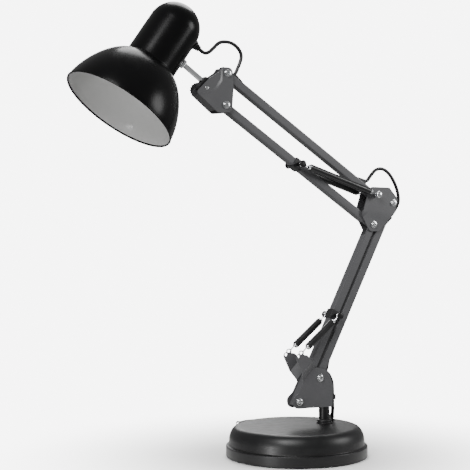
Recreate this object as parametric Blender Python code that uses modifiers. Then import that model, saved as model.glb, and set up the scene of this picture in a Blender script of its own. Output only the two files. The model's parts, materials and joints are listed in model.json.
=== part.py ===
"""Swing arm desk lamp: a weighted round base, a stem that turns in it, two parallelogram arms with balancing
springs, and a bell shade on a tilting rod. Metres, +Z up. The origin is the centre of the base's underside, the
arms lie in the XZ plane, the elbow is towards +X and the shade towards -X."""

import math

import bmesh
import bpy
from mathutils import Matrix, Vector

# ---------------------------------------------------------------- driving dimensions
GAP = 0.0003  # space left between two pieces that touch
TUBE_PLAY = 0.0008  # space between an arm tube and the plate beside it

# base
PAD_THICKNESS = 0.0020
FLANGE_RADIUS = 0.0900
FLANGE_HEIGHT = 0.0145
DRUM_RADIUS = 0.0860
BASE_HEIGHT = 0.0383
BASE_SHOULDER = 0.0115  # across the rounded top edge
BASE_SHOULDER_DROP = 0.0180  # down the rounded top edge
FLANGE_ROUND = 0.0030
COVER_WALL = 0.0012
WEIGHT_DEPTH = 0.0288  # from the cover's top down to the weight's top, less the gap under it
BASE_RIM_CLEARANCE = 0.0015

# stem and the bracket on it
STEM_X = 0.0423
STEM_RADIUS = 0.0070
SPIGOT_RADIUS = 0.0050
BUSH_FLANGE_RADIUS = 0.0102
BUSH_FLANGE_HEIGHT = 0.0015
BUSH_WALL = 0.0022
BUSH_DEPTH = 0.0140
STEM_NUT_HEIGHT = 0.0060
STEM_TOP = 0.0840
LOWER_LEFT_PIVOT = Vector((0.0000, 0.0690))
PLATE_THICKNESS = 0.0016
PRESSING_DEPTH = 0.0016  # how far the middle of an arm bracket stands out from its narrow end
ELBOW_SLOPE = 0.0075  # how far the pressing's sloping edge runs
HEAD_SLOPE = 0.0028
EAR_SPREAD = 0.0147  # half the distance between the spring ears' middles

# arms
TUBE_SIZE = 0.0108
TUBE_WALL = 0.0009
TUBE_OVERHANG = 0.0070  # tube beyond its pivot
LOWER_ARM_LENGTH = 0.2540
LOWER_ARM_ANGLE = math.radians(62.54)
LOWER_ARM_SPACING = Vector((0.0315, 0.0287))  # from the left link's pivot to the right link's
UPPER_ARM_LENGTH = 0.2660
UPPER_ARM_ANGLE = math.radians(146.70)
UPPER_ARM_SPACING = Vector((0.0019, 0.0394))  # from the bottom link's pivot to the top link's
LOWER_SPRING_REACH = 0.1216  # from the left link's lower pivot to its spring pin
UPPER_SPRING_REACH = 0.1395  # from the bottom link's elbow pivot to its spring pin
TONGUE_THICKNESS = 0.0066
TONGUE_START = 0.0150  # from the shared elbow pivot to where the tube ends and its tongue begins
FORK_DEPTH = 0.0175

# fasteners and springs
BOLT_RADIUS = 0.0025
BOLT_HEAD_RADIUS = 0.0046
BOLT_HEAD_HEIGHT = 0.0030
NUT_ACROSS = 0.0080
NUT_HEIGHT = 0.0038
SPRING_RADIUS = 0.0037
SPRING_HOOK_RADIUS = 0.0012
SPRING_HOOK_LENGTH = 0.0090
PIN_RADIUS = 0.0020
PIN_CAP_RADIUS = 0.0046
PIN_CAP_THICKNESS = 0.0020

# head
TILT_REACH = Vector((-0.0258, 0.0196))  # from the bottom link's head pivot to the clamp
RIM_REACH = Vector((-0.1129, -0.0309))  # from the clamp to the rim's centre
SHADE_ANGLE = math.radians(54.65)  # from the rim's centre towards the dome
RIM_RADIUS = 0.0709
BELL_HEIGHT = 0.0667
NECK_RADIUS = 0.0320
NECK_END = 0.1240  # height of the dome's centre above the rim
SHADE_WALL = 0.0009
ROD_RADIUS = 0.0033
ROD_HEIGHT = 0.0970  # the rod's axis above the rim
ROD_REACH = 0.0430  # from the neck's surface to the rod's far end
ROD_INSIDE = 0.0080
ROD_NUT_RADIUS = 0.0056
ROD_NUT_HEIGHT = 0.0045
CORD_ENTRY_HEIGHT = 0.1260  # the shade's cord sleeve above the rim
SLEEVE_LENGTH = 0.0095
KNOB_RADIUS = 0.0100
HOLDER_MOUTH = 0.0950  # the lampholder's mouth above the rim
HOLDER_MOUTH_RADIUS = 0.0136
HOLDER_RADIUS = 0.0200
HOLDER_LENGTH = 0.0520

# cord
CORD_RADIUS = 0.0023
CLIP_HEIGHT = 0.0710
CLIP_THICKNESS = 0.0060
CLIP_FOOT = 0.0014
GUIDE_FACE = 0.0060
GUIDE_RISE = 0.0032
GUIDE_LENGTH = 0.0115
GUIDE_WIDTH = 0.0064
COIL_LAYERS = 4
COIL_ACROSS = -0.0430
COIL_BEHIND_BASE = 0.0210  # the coil's outer edge behind the base's flange
TIE_THICKNESS = 0.0008
TIE_WIDTH = 0.0070
SWITCH_LENGTH = 0.0560
SWITCH_WIDTH = 0.0260
SWITCH_HEIGHT = 0.0180
BACK_WAY = Vector((0.4900, 0.8717))  # from the base's centre to the side that the mains lead leaves on
SWITCH_ACROSS = 0.0160
PLUG_LENGTH = 0.0330
PLUG_HEIGHT = 0.0140
RELIEF_LENGTH = 0.0210
PLUG_PIN_LENGTH = 0.0190
PLUG_PIN_RADIUS = 0.0020
PLUG_PIN_SPACING = 0.0190

ROUND_STEPS = 40
SMALL_STEPS = 16

# ---------------------------------------------------------------- dependent sizes
TUBE_HALF = TUBE_SIZE / 2
PLATE_IN = TUBE_HALF + TUBE_PLAY
PLATE_OUT = PLATE_IN + PLATE_THICKNESS
RAISED_OUT = PLATE_OUT + PRESSING_DEPTH
BOLT_HOLE = BOLT_RADIUS + GAP
SPRING_PLANE = EAR_SPREAD
PIN_HALF = SPRING_PLANE + 0.0030

LOWER_DIR = Vector((math.cos(LOWER_ARM_ANGLE), math.sin(LOWER_ARM_ANGLE)))
UPPER_DIR = Vector((math.cos(UPPER_ARM_ANGLE), math.sin(UPPER_ARM_ANGLE)))
P1 = LOWER_LEFT_PIVOT
P2 = P1 + LOWER_ARM_SPACING
B = P1 + LOWER_DIR * LOWER_ARM_LENGTH
C = B + LOWER_ARM_SPACING
A = B + UPPER_ARM_SPACING
B_HEAD = B + UPPER_DIR * UPPER_ARM_LENGTH
A_HEAD = B_HEAD + UPPER_ARM_SPACING
TILT_PIVOT = B_HEAD + TILT_REACH
SHADE_RIM = TILT_PIVOT + RIM_REACH
LOWER_SPRING_PIN = P1 + LOWER_DIR * LOWER_SPRING_REACH
UPPER_SPRING_PIN = B + UPPER_DIR * UPPER_SPRING_REACH
EAR_EYE = P1 + Vector((-0.0064, 0.0585))

SHADE_AXIS = Vector((math.cos(SHADE_ANGLE), math.sin(SHADE_ANGLE)))
SHADE_SIDE = Vector((math.sin(SHADE_ANGLE), -math.cos(SHADE_ANGLE)))
ROD_START = SHADE_RIM + SHADE_AXIS * ROD_HEIGHT + SHADE_SIDE * NECK_RADIUS

SLEEVE_END = SHADE_RIM + SHADE_AXIS * CORD_ENTRY_HEIGHT + SHADE_SIDE * (NECK_RADIUS + SLEEVE_LENGTH)

# Each cord guide: its pivot, the way into the tube, the wall it's in, its reach from the pivot, its face's angle.
FOOT_MOUTH = (P2, LOWER_DIR, 1, 0.0125, math.radians(75))
LOWER_ELBOW_MOUTH = (C, -LOWER_DIR, -1, 0.0150, math.radians(25))
UPPER_ELBOW_MOUTH = (A, UPPER_DIR, 1, 0.0190, math.radians(50))
HEAD_MOUTH = (A_HEAD, -UPPER_DIR, -1, 0.0125, math.radians(90))

WEIGHT_THICKNESS = BASE_HEIGHT - WEIGHT_DEPTH
BUSH_TOP = BASE_HEIGHT + GAP + BUSH_FLANGE_HEIGHT
CORD_DIAMETER = 2 * CORD_RADIUS
COIL_RADIUS = 5.25 * CORD_DIAMETER  # to the middle of its turns
COIL_INNER = COIL_RADIUS - 1.6 * CORD_DIAMETER
COIL_OUTER = COIL_RADIUS + 1.85 * CORD_DIAMETER
COIL_EDGE = 4.35 * CORD_DIAMETER  # across from its centre to where the leads meet it
COIL_LOW = TIE_THICKNESS + GAP + 0.0001
COIL_HIGH = COIL_LOW + (COIL_LAYERS + 0.08) * CORD_DIAMETER
COIL_BACK = FLANGE_RADIUS + COIL_BEHIND_BASE + COIL_OUTER
CORD_REST = CORD_RADIUS + 0.0001
BRACKET_FOOT = P1.y - 0.0095
BRACKET_RIGHT = STEM_X + STEM_RADIUS + GAP + PLATE_THICKNESS
CORD_DROP_X = BRACKET_RIGHT + GAP + CLIP_FOOT + CORD_RADIUS + GAP


def at(point, y=0.0):
    """A point of the arm plane as a point in space."""
    return Vector((point.x, y, point.y))


def behind(across, back, height):
    """A point behind the base: across to the right, back from the base's centre, and above the floor."""
    return Vector((across * BACK_WAY.y + back * BACK_WAY.x, -across * BACK_WAY.x + back * BACK_WAY.y, height))


SWITCH_BACK = COIL_BACK + COIL_RADIUS + 1.3 * CORD_DIAMETER
TAIL_RADIUS = 4.4 * CORD_DIAMETER  # of the bend between the switch and the plug
PLUG_ACROSS = SWITCH_ACROSS + SWITCH_LENGTH / 2 + 0.0050 + TAIL_RADIUS
PLUG_BACK = SWITCH_BACK - TAIL_RADIUS - 0.0015 - RELIEF_LENGTH - PLUG_LENGTH / 2

# Every body's frame stands on its joint's axis.
BODIES = {
    "base": Vector((0, 0, 0)),
    "turret": Vector((STEM_X, 0, BUSH_TOP)),
    "lower_right_link": at(P2),
    "lower_left_link": at(P1),
    "elbow": at(C),
    "upper_top_link": at(A),
    "upper_bottom_link": at(B),
    "head": at(A_HEAD),
    "knuckle": at(TILT_PIVOT),
    "shade": at(ROD_START),
    "clamp_knob": at(TILT_PIVOT),
    "rocker": behind(SWITCH_ACROSS, SWITCH_BACK, SWITCH_HEIGHT - 0.0030),
}


# ---------------------------------------------------------------- scene and materials
def clear_scene():
    """Remove what a new file holds."""
    for obj in list(bpy.data.objects):
        bpy.data.objects.remove(obj, do_unlink=True)


def make_collection(name):
    """A collection linked to the scene."""
    collection = bpy.data.collections.new(name)
    bpy.context.scene.collection.children.link(collection)
    return collection


def make_material(name, colour, roughness, metallic):
    """A Principled material of one colour."""
    mat = bpy.data.materials.new(name)
    mat.use_nodes = True
    shader = mat.node_tree.nodes["Principled BSDF"]
    shader.inputs["Base Color"].default_value = (*colour, 1.0)
    shader.inputs["Roughness"].default_value = roughness
    shader.inputs["Metallic"].default_value = metallic
    return mat


clear_scene()
PARTS = make_collection("swing_arm_desk_lamp")
CUTTERS = make_collection("cutters")
BLACK_PAINT = make_material("black_paint", (0.012, 0.012, 0.013), 0.35, 0.0)
GREY_PAINT = make_material("dark_grey_paint", (0.045, 0.045, 0.048), 0.45, 0.0)
STEEL = make_material("zinc_plated_steel", (0.62, 0.62, 0.60), 0.28, 1.0)
CHROME = make_material("chrome", (0.80, 0.80, 0.82), 0.08, 1.0)
IRON = make_material("cast_iron", (0.10, 0.10, 0.10), 0.70, 0.6)
PLASTIC = make_material("black_plastic", (0.015, 0.015, 0.015), 0.50, 0.0)
PVC = make_material("black_pvc", (0.010, 0.010, 0.010), 0.45, 0.0)
FOAM = make_material("foam", (0.020, 0.020, 0.020), 0.90, 0.0)
CERAMIC = make_material("lampholder", (0.80, 0.79, 0.75), 0.35, 0.0)

FRAMES = {}


def make_frames():
    """One empty for each moving body, on its joint's axis."""
    for name, place in BODIES.items():
        empty = bpy.data.objects.new(f"axis_{name}", None)
        empty.empty_display_size = 0.01
        empty.location = place
        PARTS.objects.link(empty)
        FRAMES[name] = empty


# ---------------------------------------------------------------- shape helpers
def settle(obj, body, place, turn=None, finish=None):
    """Put an object in the parts, on its body's frame, at a place and turn in space."""
    PARTS.objects.link(obj)
    obj.parent = FRAMES[body]
    obj.matrix_local = Matrix.Translation(Vector(place) - BODIES[body]) @ (turn or Matrix.Identity(4))
    if finish:
        obj.data.materials.append(finish)
    return obj


def columns(x_axis, y_axis, z_axis):
    """A turn whose local axes point along the three given directions."""
    return Matrix((x_axis, y_axis, z_axis)).transposed().to_4x4()


SIDEWAYS = columns((1, 0, 0), (0, 0, 1), (0, -1, 0))  # local XY to the arm plane, local Z to -Y


def along(direction):
    """A turn with local Z along a direction of the arm plane, and local Y along +Y."""
    return columns((direction.y, 0, -direction.x), (0, 1, 0), (direction.x, 0, direction.y))


def outline_object(name, outlines, depth):
    """A flat 2D curve of closed outlines, the first one solid and the others holes, extruded to a depth."""
    curve = bpy.data.curves.new(name, "CURVE")
    curve.dimensions = "2D"
    curve.fill_mode = "BOTH"
    curve.extrude = depth / 2
    for points in outlines:
        spline = curve.splines.new("POLY")
        spline.points.add(len(points) - 1)
        for point, corner in zip(spline.points, points):
            point.co = (corner[0], corner[1], 0, 1)
        spline.use_cyclic_u = True
    return bpy.data.objects.new(name, curve)


def rounded(corners, steps=4):
    """A polygon's outline with each corner (x, y, radius) turned into an arc."""
    points = []
    count = len(corners)
    for i, (x, y, radius) in enumerate(corners):
        here = Vector((x, y))
        before = Vector(corners[i - 1][:2]) - here
        after = Vector(corners[(i + 1) % count][:2]) - here
        if radius <= 0:
            points.append(here)
            continue
        half = before.angle(after) / 2
        reach = radius / math.tan(half)
        centre = here + (before.normalized() + after.normalized()).normalized() * radius / math.sin(half)
        start = here + before.normalized() * reach - centre
        end = here + after.normalized() * reach - centre
        sweep = start.angle_signed(end)
        for k in range(steps + 1):
            turn = -sweep * k / steps
            arm = Vector((start.x * math.cos(turn) - start.y * math.sin(turn),
                          start.x * math.sin(turn) + start.y * math.cos(turn)))
            points.append(centre + arm)
    return points


def circle(radius, steps=SMALL_STEPS, centre=(0, 0)):
    """Points round a circle."""
    return [Vector((centre[0] + radius * math.cos(2 * math.pi * k / steps),
                    centre[1] + radius * math.sin(2 * math.pi * k / steps))) for k in range(steps)]


def arc(centre, radius, start, end, steps):
    """Points on an arc, its angles in degrees, both ends included."""
    angles = [math.radians(start + (end - start) * k / steps) for k in range(steps + 1)]
    return [(centre[0] + radius * math.cos(a), centre[1] + radius * math.sin(a)) for a in angles]


def turned_object(name, profile, steps, closed=False):
    """A profile (radius, height) turned about local Z. It runs down its outer side, top to bottom."""
    mesh = bpy.data.meshes.new(name)
    edges = [(i, i + 1) for i in range(len(profile) - 1)]
    if closed:
        edges.append((len(profile) - 1, 0))
    mesh.from_pydata([(r, 0, z) for r, z in profile], edges, [])
    obj = bpy.data.objects.new(name, mesh)
    screw = obj.modifiers.new("turn", "SCREW")
    screw.steps = steps
    screw.render_steps = steps
    screw.use_merge_vertices = True
    screw.merge_threshold = 0.00001
    screw.use_smooth_shade = True
    return obj


def as_mesh(obj):
    """The evaluated object as a plain closed mesh under the same name; the original is removed."""
    if obj.name not in bpy.context.scene.collection.all_objects:
        bpy.context.scene.collection.objects.link(obj)
    bpy.context.view_layer.update()
    evaluated = obj.evaluated_get(bpy.context.evaluated_depsgraph_get())
    mesh = bpy.data.meshes.new_from_object(evaluated)
    name = obj.name
    old = obj.data
    bpy.data.objects.remove(obj, do_unlink=True)
    old.name = f"{name}_shape"
    bm = bmesh.new()
    bm.from_mesh(mesh)
    bmesh.ops.remove_doubles(bm, verts=bm.verts, dist=0.000005)
    bm.to_mesh(mesh)
    bm.free()
    mesh.name = name
    return bpy.data.objects.new(name, mesh)


def box_mesh(name, low, high):
    """A box between two corners, its place in its mesh."""
    low, high = Vector(low), Vector(high)
    bm = bmesh.new()
    bmesh.ops.create_cube(bm, size=1.0)
    bmesh.ops.scale(bm, vec=high - low, verts=bm.verts)
    bmesh.ops.translate(bm, vec=(low + high) / 2, verts=bm.verts)
    mesh = bpy.data.meshes.new(name)
    bm.to_mesh(mesh)
    bm.free()
    return bpy.data.objects.new(name, mesh)


def rod_mesh(name, radius, length, steps=SMALL_STEPS):
    """A plain cylinder about local Z, centred."""
    bm = bmesh.new()
    bmesh.ops.create_cone(bm, cap_ends=True, segments=steps, radius1=radius, radius2=radius, depth=length)
    mesh = bpy.data.meshes.new(name)
    bm.to_mesh(mesh)
    bm.free()
    return bpy.data.objects.new(name, mesh)


def guide(obj, world):
    """Make an object a cutter or joining piece at a place in space, left out of the build."""
    if obj.name in bpy.context.scene.collection.objects:
        bpy.context.scene.collection.objects.unlink(obj)
    CUTTERS.objects.link(obj)
    obj.matrix_world = world
    obj.hide_render = True
    obj.display_type = "WIRE"
    return obj


def combine(target, other, operation):
    """A Boolean of the target with another object."""
    modifier = target.modifiers.new(operation.lower(), "BOOLEAN")
    modifier.operation = operation
    modifier.object = other
    modifier.solver = "EXACT"
    return modifier


def cross_hole(target, centre, radius, half_length=0.03):
    """A round hole along Y through a target that is already in place."""
    cutter = rod_mesh(f"{target.name}_hole", radius, 2 * half_length)
    guide(cutter, Matrix.Translation(centre) @ SIDEWAYS)
    combine(target, cutter, "DIFFERENCE")


def smooth_mesh(obj, angle=40):
    """Smooth shading, with sharp edges kept."""
    obj.data.shade_smooth()
    obj.data.set_sharp_from_angle(angle=math.radians(angle))


# ---------------------------------------------------------------- fasteners
def make_bolt(name, body, centre, half_grip, half_tail):
    """A domed bolt along Y: its head at -Y, its shank from -half_grip to half_tail."""
    head = half_grip + BOLT_HEAD_HEIGHT
    profile = [(0, head), (0.55 * BOLT_HEAD_RADIUS, head - 0.0002),
               (0.88 * BOLT_HEAD_RADIUS, head - 0.0010), (BOLT_HEAD_RADIUS, head - 0.0022),
               (BOLT_HEAD_RADIUS, half_grip + GAP), (BOLT_RADIUS, half_grip + GAP),
               (BOLT_RADIUS, -half_tail), (0, -half_tail)]
    bolt = turned_object(name, profile, SMALL_STEPS)
    return settle(bolt, body, at(centre), SIDEWAYS, STEEL)


def make_nut(name, body, centre, half_grip):
    """A hexagon nut on a bolt's tail, at +Y."""
    hexagon = circle(NUT_ACROSS / 2 / math.cos(math.pi / 6), 6)
    nut = outline_object(name, [hexagon, circle(BOLT_HOLE, 12)], NUT_HEIGHT)
    place = at(centre, half_grip + GAP + NUT_HEIGHT / 2)
    return settle(nut, body, place, SIDEWAYS, STEEL)


def make_fastening(tag, body, centre, half_grip):
    """A pivot bolt and its nut through two plates."""
    make_bolt(f"bolt_{tag}", body, centre, half_grip, half_grip + GAP + NUT_HEIGHT + 0.0012)
    make_nut(f"nut_{tag}", body, centre, half_grip)


# ---------------------------------------------------------------- base
def make_base():
    """Cover, weight, underside pad, and the bush that the stem turns in."""
    top = BASE_HEIGHT
    drum = DRUM_RADIUS
    lip = FLANGE_HEIGHT
    profile = [(0, top)]
    bend = BASE_SHOULDER_DROP / BASE_SHOULDER
    profile += [(drum - BASE_SHOULDER + r, top - BASE_SHOULDER_DROP + z * bend) for r, z in arc((0, 0),
                                                                                                BASE_SHOULDER, 90, 0, 5)]
    profile += [(drum, lip + 0.0010), (drum + 0.0010, lip)]
    profile += arc((FLANGE_RADIUS - FLANGE_ROUND, lip - FLANGE_ROUND), FLANGE_ROUND, 90, 0, 3)
    profile += [(FLANGE_RADIUS, 0.0008)]
    cover = turned_object("base_cover", profile, 48)
    wall = cover.modifiers.new("wall", "SOLIDIFY")
    wall.thickness = COVER_WALL
    wall.offset = -1
    settle(cover, "base", (0, 0, 0), None, BLACK_PAINT)
    bush_hole = rod_mesh("bush_hole", SPIGOT_RADIUS + GAP + BUSH_WALL + GAP, 0.03, 24)
    guide(bush_hole, Matrix.Translation((STEM_X, 0, top)))
    combine(cover, bush_hole, "DIFFERENCE")

    inner = FLANGE_RADIUS - COVER_WALL
    pad_radius = inner - BASE_RIM_CLEARANCE
    pad = turned_object("base_pad", [(0, PAD_THICKNESS), (pad_radius, PAD_THICKNESS), (pad_radius, 0),
                                     (0, 0)], ROUND_STEPS)
    settle(pad, "base", (0, 0, 0), None, FOAM)

    bottom = PAD_THICKNESS + GAP
    weight_radius = drum - COVER_WALL - BASE_RIM_CLEARANCE
    weight_top = bottom + WEIGHT_THICKNESS
    profile = [(0, weight_top), (weight_radius - 0.0015, weight_top), (weight_radius, weight_top - 0.0015),
               (weight_radius, bottom), (0, bottom)]
    settle(turned_object("base_weight", profile, ROUND_STEPS), "base", (0, 0, 0), None, IRON)

    bore = SPIGOT_RADIUS + GAP
    profile = [(bore, BUSH_TOP - BASE_HEIGHT), (BUSH_FLANGE_RADIUS - 0.0005, BUSH_TOP - BASE_HEIGHT),
               (BUSH_FLANGE_RADIUS, BUSH_TOP - BASE_HEIGHT - 0.0005), (BUSH_FLANGE_RADIUS, GAP),
               (bore + BUSH_WALL, GAP), (bore + BUSH_WALL, -BUSH_DEPTH), (bore, -BUSH_DEPTH)]
    bush = turned_object("stem_bush", profile, 24, closed=True)
    settle(bush, "base", (STEM_X, 0, BASE_HEIGHT), None, PLASTIC)


# ---------------------------------------------------------------- stem and turret bracket
def make_turret():
    """The stem, its lock nut, and the bracket that carries the lower arm and its spring ears."""
    spigot_end = BASE_HEIGHT - BUSH_DEPTH - GAP - STEM_NUT_HEIGHT - 0.0010
    foot = BUSH_TOP + GAP
    profile = [(0, STEM_TOP), (STEM_RADIUS - 0.0008, STEM_TOP), (STEM_RADIUS, STEM_TOP - 0.0008),
               (STEM_RADIUS, foot), (SPIGOT_RADIUS, foot), (SPIGOT_RADIUS, spigot_end), (0, spigot_end)]
    stem = as_mesh(turned_object("stem", profile, 24))
    settle(stem, "turret", (STEM_X, 0, 0), None, BLACK_PAINT)
    smooth_mesh(stem)
    flats = box_mesh("stem_flats", (-0.02, -0.02, -GAP), (0.02, 0.02, 0.04))
    shoulder = Vector((STEM_X, 0, BRACKET_FOOT))
    guide(flats, Matrix.Translation(shoulder))
    core = box_mesh("stem_tang", (-STEM_RADIUS - 0.001, -PLATE_IN + GAP, -0.01), (STEM_RADIUS + 0.001,
                                                                                  PLATE_IN - GAP, 0.05))
    guide(core, Matrix.Translation(shoulder))
    combine(flats, core, "DIFFERENCE")
    combine(stem, flats, "DIFFERENCE")

    hexagon = circle(0.0080 / math.cos(math.pi / 6), 6)
    nut = outline_object("stem_nut", [hexagon, circle(SPIGOT_RADIUS + GAP, 24)], STEM_NUT_HEIGHT)
    settle(nut, "turret", (STEM_X, 0, BASE_HEIGHT - BUSH_DEPTH - GAP - STEM_NUT_HEIGHT / 2), None, STEEL)

    right = BRACKET_RIGHT
    plate = rounded([
        (P1.x - 0.0095, P1.y - 0.0085, 0.008), (right - 0.001, BRACKET_FOOT, 0.002),
        (right, P2.y - 0.0100, 0.004), (P2.x + 0.0120, P2.y + 0.0095, 0.008),
        (P2.x - 0.0060, P2.y + 0.0140, 0.003), (P1.x + 0.0060, P1.y + 0.0240, 0.006),
        (P1.x - 0.0010, P1.y + 0.0110, 0.010), (P1.x - 0.0095, P1.y + 0.0040, 0.006)])
    holes = [circle(BOLT_HOLE, 12, P1), circle(BOLT_HOLE, 12, P2)]
    bracket = as_mesh(outline_object("turret_bracket", [plate] + holes, 2 * PLATE_OUT))
    settle(bracket, "turret", (0, 0, 0), SIDEWAYS, GREY_PAINT)
    slot = box_mesh("turret_slot", (-0.05, -PLATE_IN, 0.0), (right - PLATE_THICKNESS, PLATE_IN, 0.2))
    guide(slot, Matrix.Identity(4))
    combine(bracket, slot, "DIFFERENCE")
    for side in (-1, 1):
        ear = make_ear(side)
        combine(bracket, ear, "UNION")
        cross_hole(bracket, at(EAR_EYE, side * EAR_SPREAD), 0.0021, 0.004)

    make_fastening("turret_front_pivot", "turret", P1, PLATE_OUT)
    make_fastening("turret_rear_pivot", "turret", P2, PLATE_OUT)

    grip = CORD_RADIUS + GAP
    foot = -grip - CLIP_FOOT
    reach = grip + 0.0013
    ring = rounded([(foot, -0.0042, 0), (reach, -0.0042, 0.0035), (reach, 0.0042, 0.0035), (foot, 0.0042, 0)])
    clip = outline_object("cord_clip", [ring, circle(grip, 12)], CLIP_THICKNESS)
    settle(clip, "turret", (CORD_DROP_X, 0, CLIP_HEIGHT), None, PLASTIC)


def make_ear(side):
    """A spring ear: a tab that leaves the plate's upper left edge, cranks outwards and ends in an eyelet."""
    low = P1 + Vector((0.0060, 0.0240))
    high = P2 + Vector((-0.0060, 0.0140))
    edge = (high - low).normalized()
    out = Vector((-edge.y, edge.x))
    crank = EAR_SPREAD + PLATE_THICKNESS / 2
    outer = [(-0.0080, PLATE_OUT), (0.0030, PLATE_OUT), (0.0140, crank), (0.0500, crank)]
    inner = [(n, y - PLATE_THICKNESS) for n, y in reversed(outer)]
    strip = as_mesh(outline_object(f"ear_strip_{side}", [[(n, side * y) for n, y in outer + inner]], 0.0700))
    guide(strip, Matrix.Translation(at(low)) @ columns((out.x, 0, out.y), (0, 1, 0), (-out.y, 0, out.x)))
    shape = rounded([
        (low.x, low.y, 0), (low.x - 0.0150, low.y + 0.0310, 0.004), (EAR_EYE.x - 0.0075, EAR_EYE.y + 0.0050,
                                                                     0.0045),
        (EAR_EYE.x + 0.0135, EAR_EYE.y + 0.0010, 0.004), (high.x - 0.0015, high.y - 0.0015, 0),
        (high.x + 0.0020, high.y - 0.0100, 0), (low.x + 0.0050, low.y - 0.0040, 0)])
    ear = as_mesh(outline_object(f"ear_{side}", [shape], 0.05))
    guide(ear, SIDEWAYS)
    combine(ear, strip, "INTERSECT")
    return ear


# ---------------------------------------------------------------- arms
def make_tube(name, body, start, direction, length, finish=GREY_PAINT):
    """A square tube from a pivot to the one at the other end, a little longer at both ends."""
    h = TUBE_HALF
    w = h - TUBE_WALL
    outer = rounded([(-h, -h, 0.0012), (h, -h, 0.0012), (h, h, 0.0012), (-h, h, 0.0012)], 2)
    inner = [(-w, -w), (w, -w), (w, w), (-w, w)]
    tube = as_mesh(outline_object(name, [outer, inner], length + 2 * TUBE_OVERHANG))
    settle(tube, body, at(start + direction * length / 2), along(direction), finish)
    for reach in (0, length):
        cross_hole(tube, at(start + direction * reach), BOLT_HOLE)
    return tube


def block_at(name, origin, direction, low, high):
    """A box guide whose corners are (across, y, along) from a pivot, along a link."""
    return guide(box_mesh(name, low, high), Matrix.Translation(at(origin)) @ along(direction))


def make_guide(name, tube, body, mouth):
    """A plastic cord guide in a tube's wall, and the slot it sits in. Its face meets the cord squarely."""
    pivot, direction, side, reach, angle = mouth
    facing = Vector((direction.y, -direction.x)) * side
    lean = Vector((math.sin(angle), math.cos(angle))) * GUIDE_FACE / 2
    centre = Vector((reach, GUIDE_RISE))
    near = centre - lean
    far = centre + lean
    depth = -TUBE_WALL - 0.0004
    start = near.x + 0.0015
    end = reach + GUIDE_LENGTH
    profile = [near, (near.x, GAP), (start, GAP), (start, depth), (end, depth),
               (end, GAP), (end + 0.0020, GAP), (end + 0.0020, 0.0012), far]
    solid = outline_object(name, [[Vector(p) for p in profile]], GUIDE_WIDTH)
    turn = columns((direction.x, 0, direction.y), (facing.x, 0, facing.y), (0, side, 0))
    settle(solid, body, at(pivot + facing * TUBE_HALF), turn, PLASTIC)
    low_x, high_x = sorted((side * (TUBE_HALF - 0.003), side * (TUBE_HALF + 0.003)))
    half = GUIDE_WIDTH / 2 + GAP
    slot = block_at(f"{name}_slot", pivot, direction, (low_x, -half, start - GAP), (high_x, half, end + GAP))
    combine(tube, slot, "DIFFERENCE")


def mouth_of(mouth):
    """Where a cord guide's face has its centre, and the direction in which the cord leaves it."""
    pivot, direction, side, reach, angle = mouth
    facing = Vector((direction.y, -direction.x)) * side
    way = facing * math.sin(angle) - direction * math.cos(angle)
    return pivot + direction * reach + facing * (TUBE_HALF + GUIDE_RISE), way


def make_spring_pin(name, body, centre):
    """A pin through a link, with a cap at each end that keeps the spring hooks on."""
    profile = [(0, PIN_HALF + PIN_CAP_THICKNESS), (0.7 * PIN_CAP_RADIUS, PIN_HALF + PIN_CAP_THICKNESS),
               (PIN_CAP_RADIUS, PIN_HALF + 0.6 * PIN_CAP_THICKNESS), (PIN_CAP_RADIUS, PIN_HALF), (PIN_RADIUS,
                                                                                                  PIN_HALF)]
    profile += [(r, -z) for r, z in reversed(profile)]
    pin = turned_object(name, profile, SMALL_STEPS)
    settle(pin, body, at(centre), SIDEWAYS, BLACK_PAINT)


def make_saddle(name, body, centre, direction):
    """The clip that holds a spring pin on its link: a strap round three sides of the tube."""
    reach = TUBE_HALF + GAP
    side = 0.0012
    shape = rounded([
        (-reach - side, -reach - side, 0.0010), (reach + side, -reach - side, 0.0010), (reach + side,
                                                                                        reach + side, 0.0010),
        (reach - 0.0035, reach + side, 0), (reach - 0.0035, reach, 0), (reach, reach, 0), (reach, -reach, 0),
        (-reach, -reach, 0), (-reach, reach, 0), (-reach + 0.0035, reach, 0), (-reach + 0.0035, reach + side,
                                                                               0),
        (-reach - side, reach + side, 0.0010)], 2)
    saddle = as_mesh(outline_object(name, [shape], 0.0120))
    settle(saddle, body, at(centre), along(direction) @ Matrix.Rotation(-math.pi / 2, 4, "Z"), PLASTIC)
    cross_hole(saddle, at(centre), PIN_RADIUS + GAP)


def make_spring(name, body, from_point, to_point, y, near_stop, far_stop):
    """A balancing spring's outer shape between its two hooks."""
    direction = to_point - from_point
    length = direction.length - near_stop - far_stop
    direction.normalize()
    half = length / 2
    body_half = half - SPRING_HOOK_LENGTH
    profile = [(0, half), (SPRING_HOOK_RADIUS, half), (SPRING_HOOK_RADIUS, body_half + 0.001),
               (SPRING_RADIUS, body_half - 0.001)]
    profile += [(r, -z) for r, z in reversed(profile)]
    spring = turned_object(name, profile, 12)
    middle = from_point + direction * (near_stop + half)
    settle(spring, body, at(middle, y), along(direction), PLASTIC)


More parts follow.
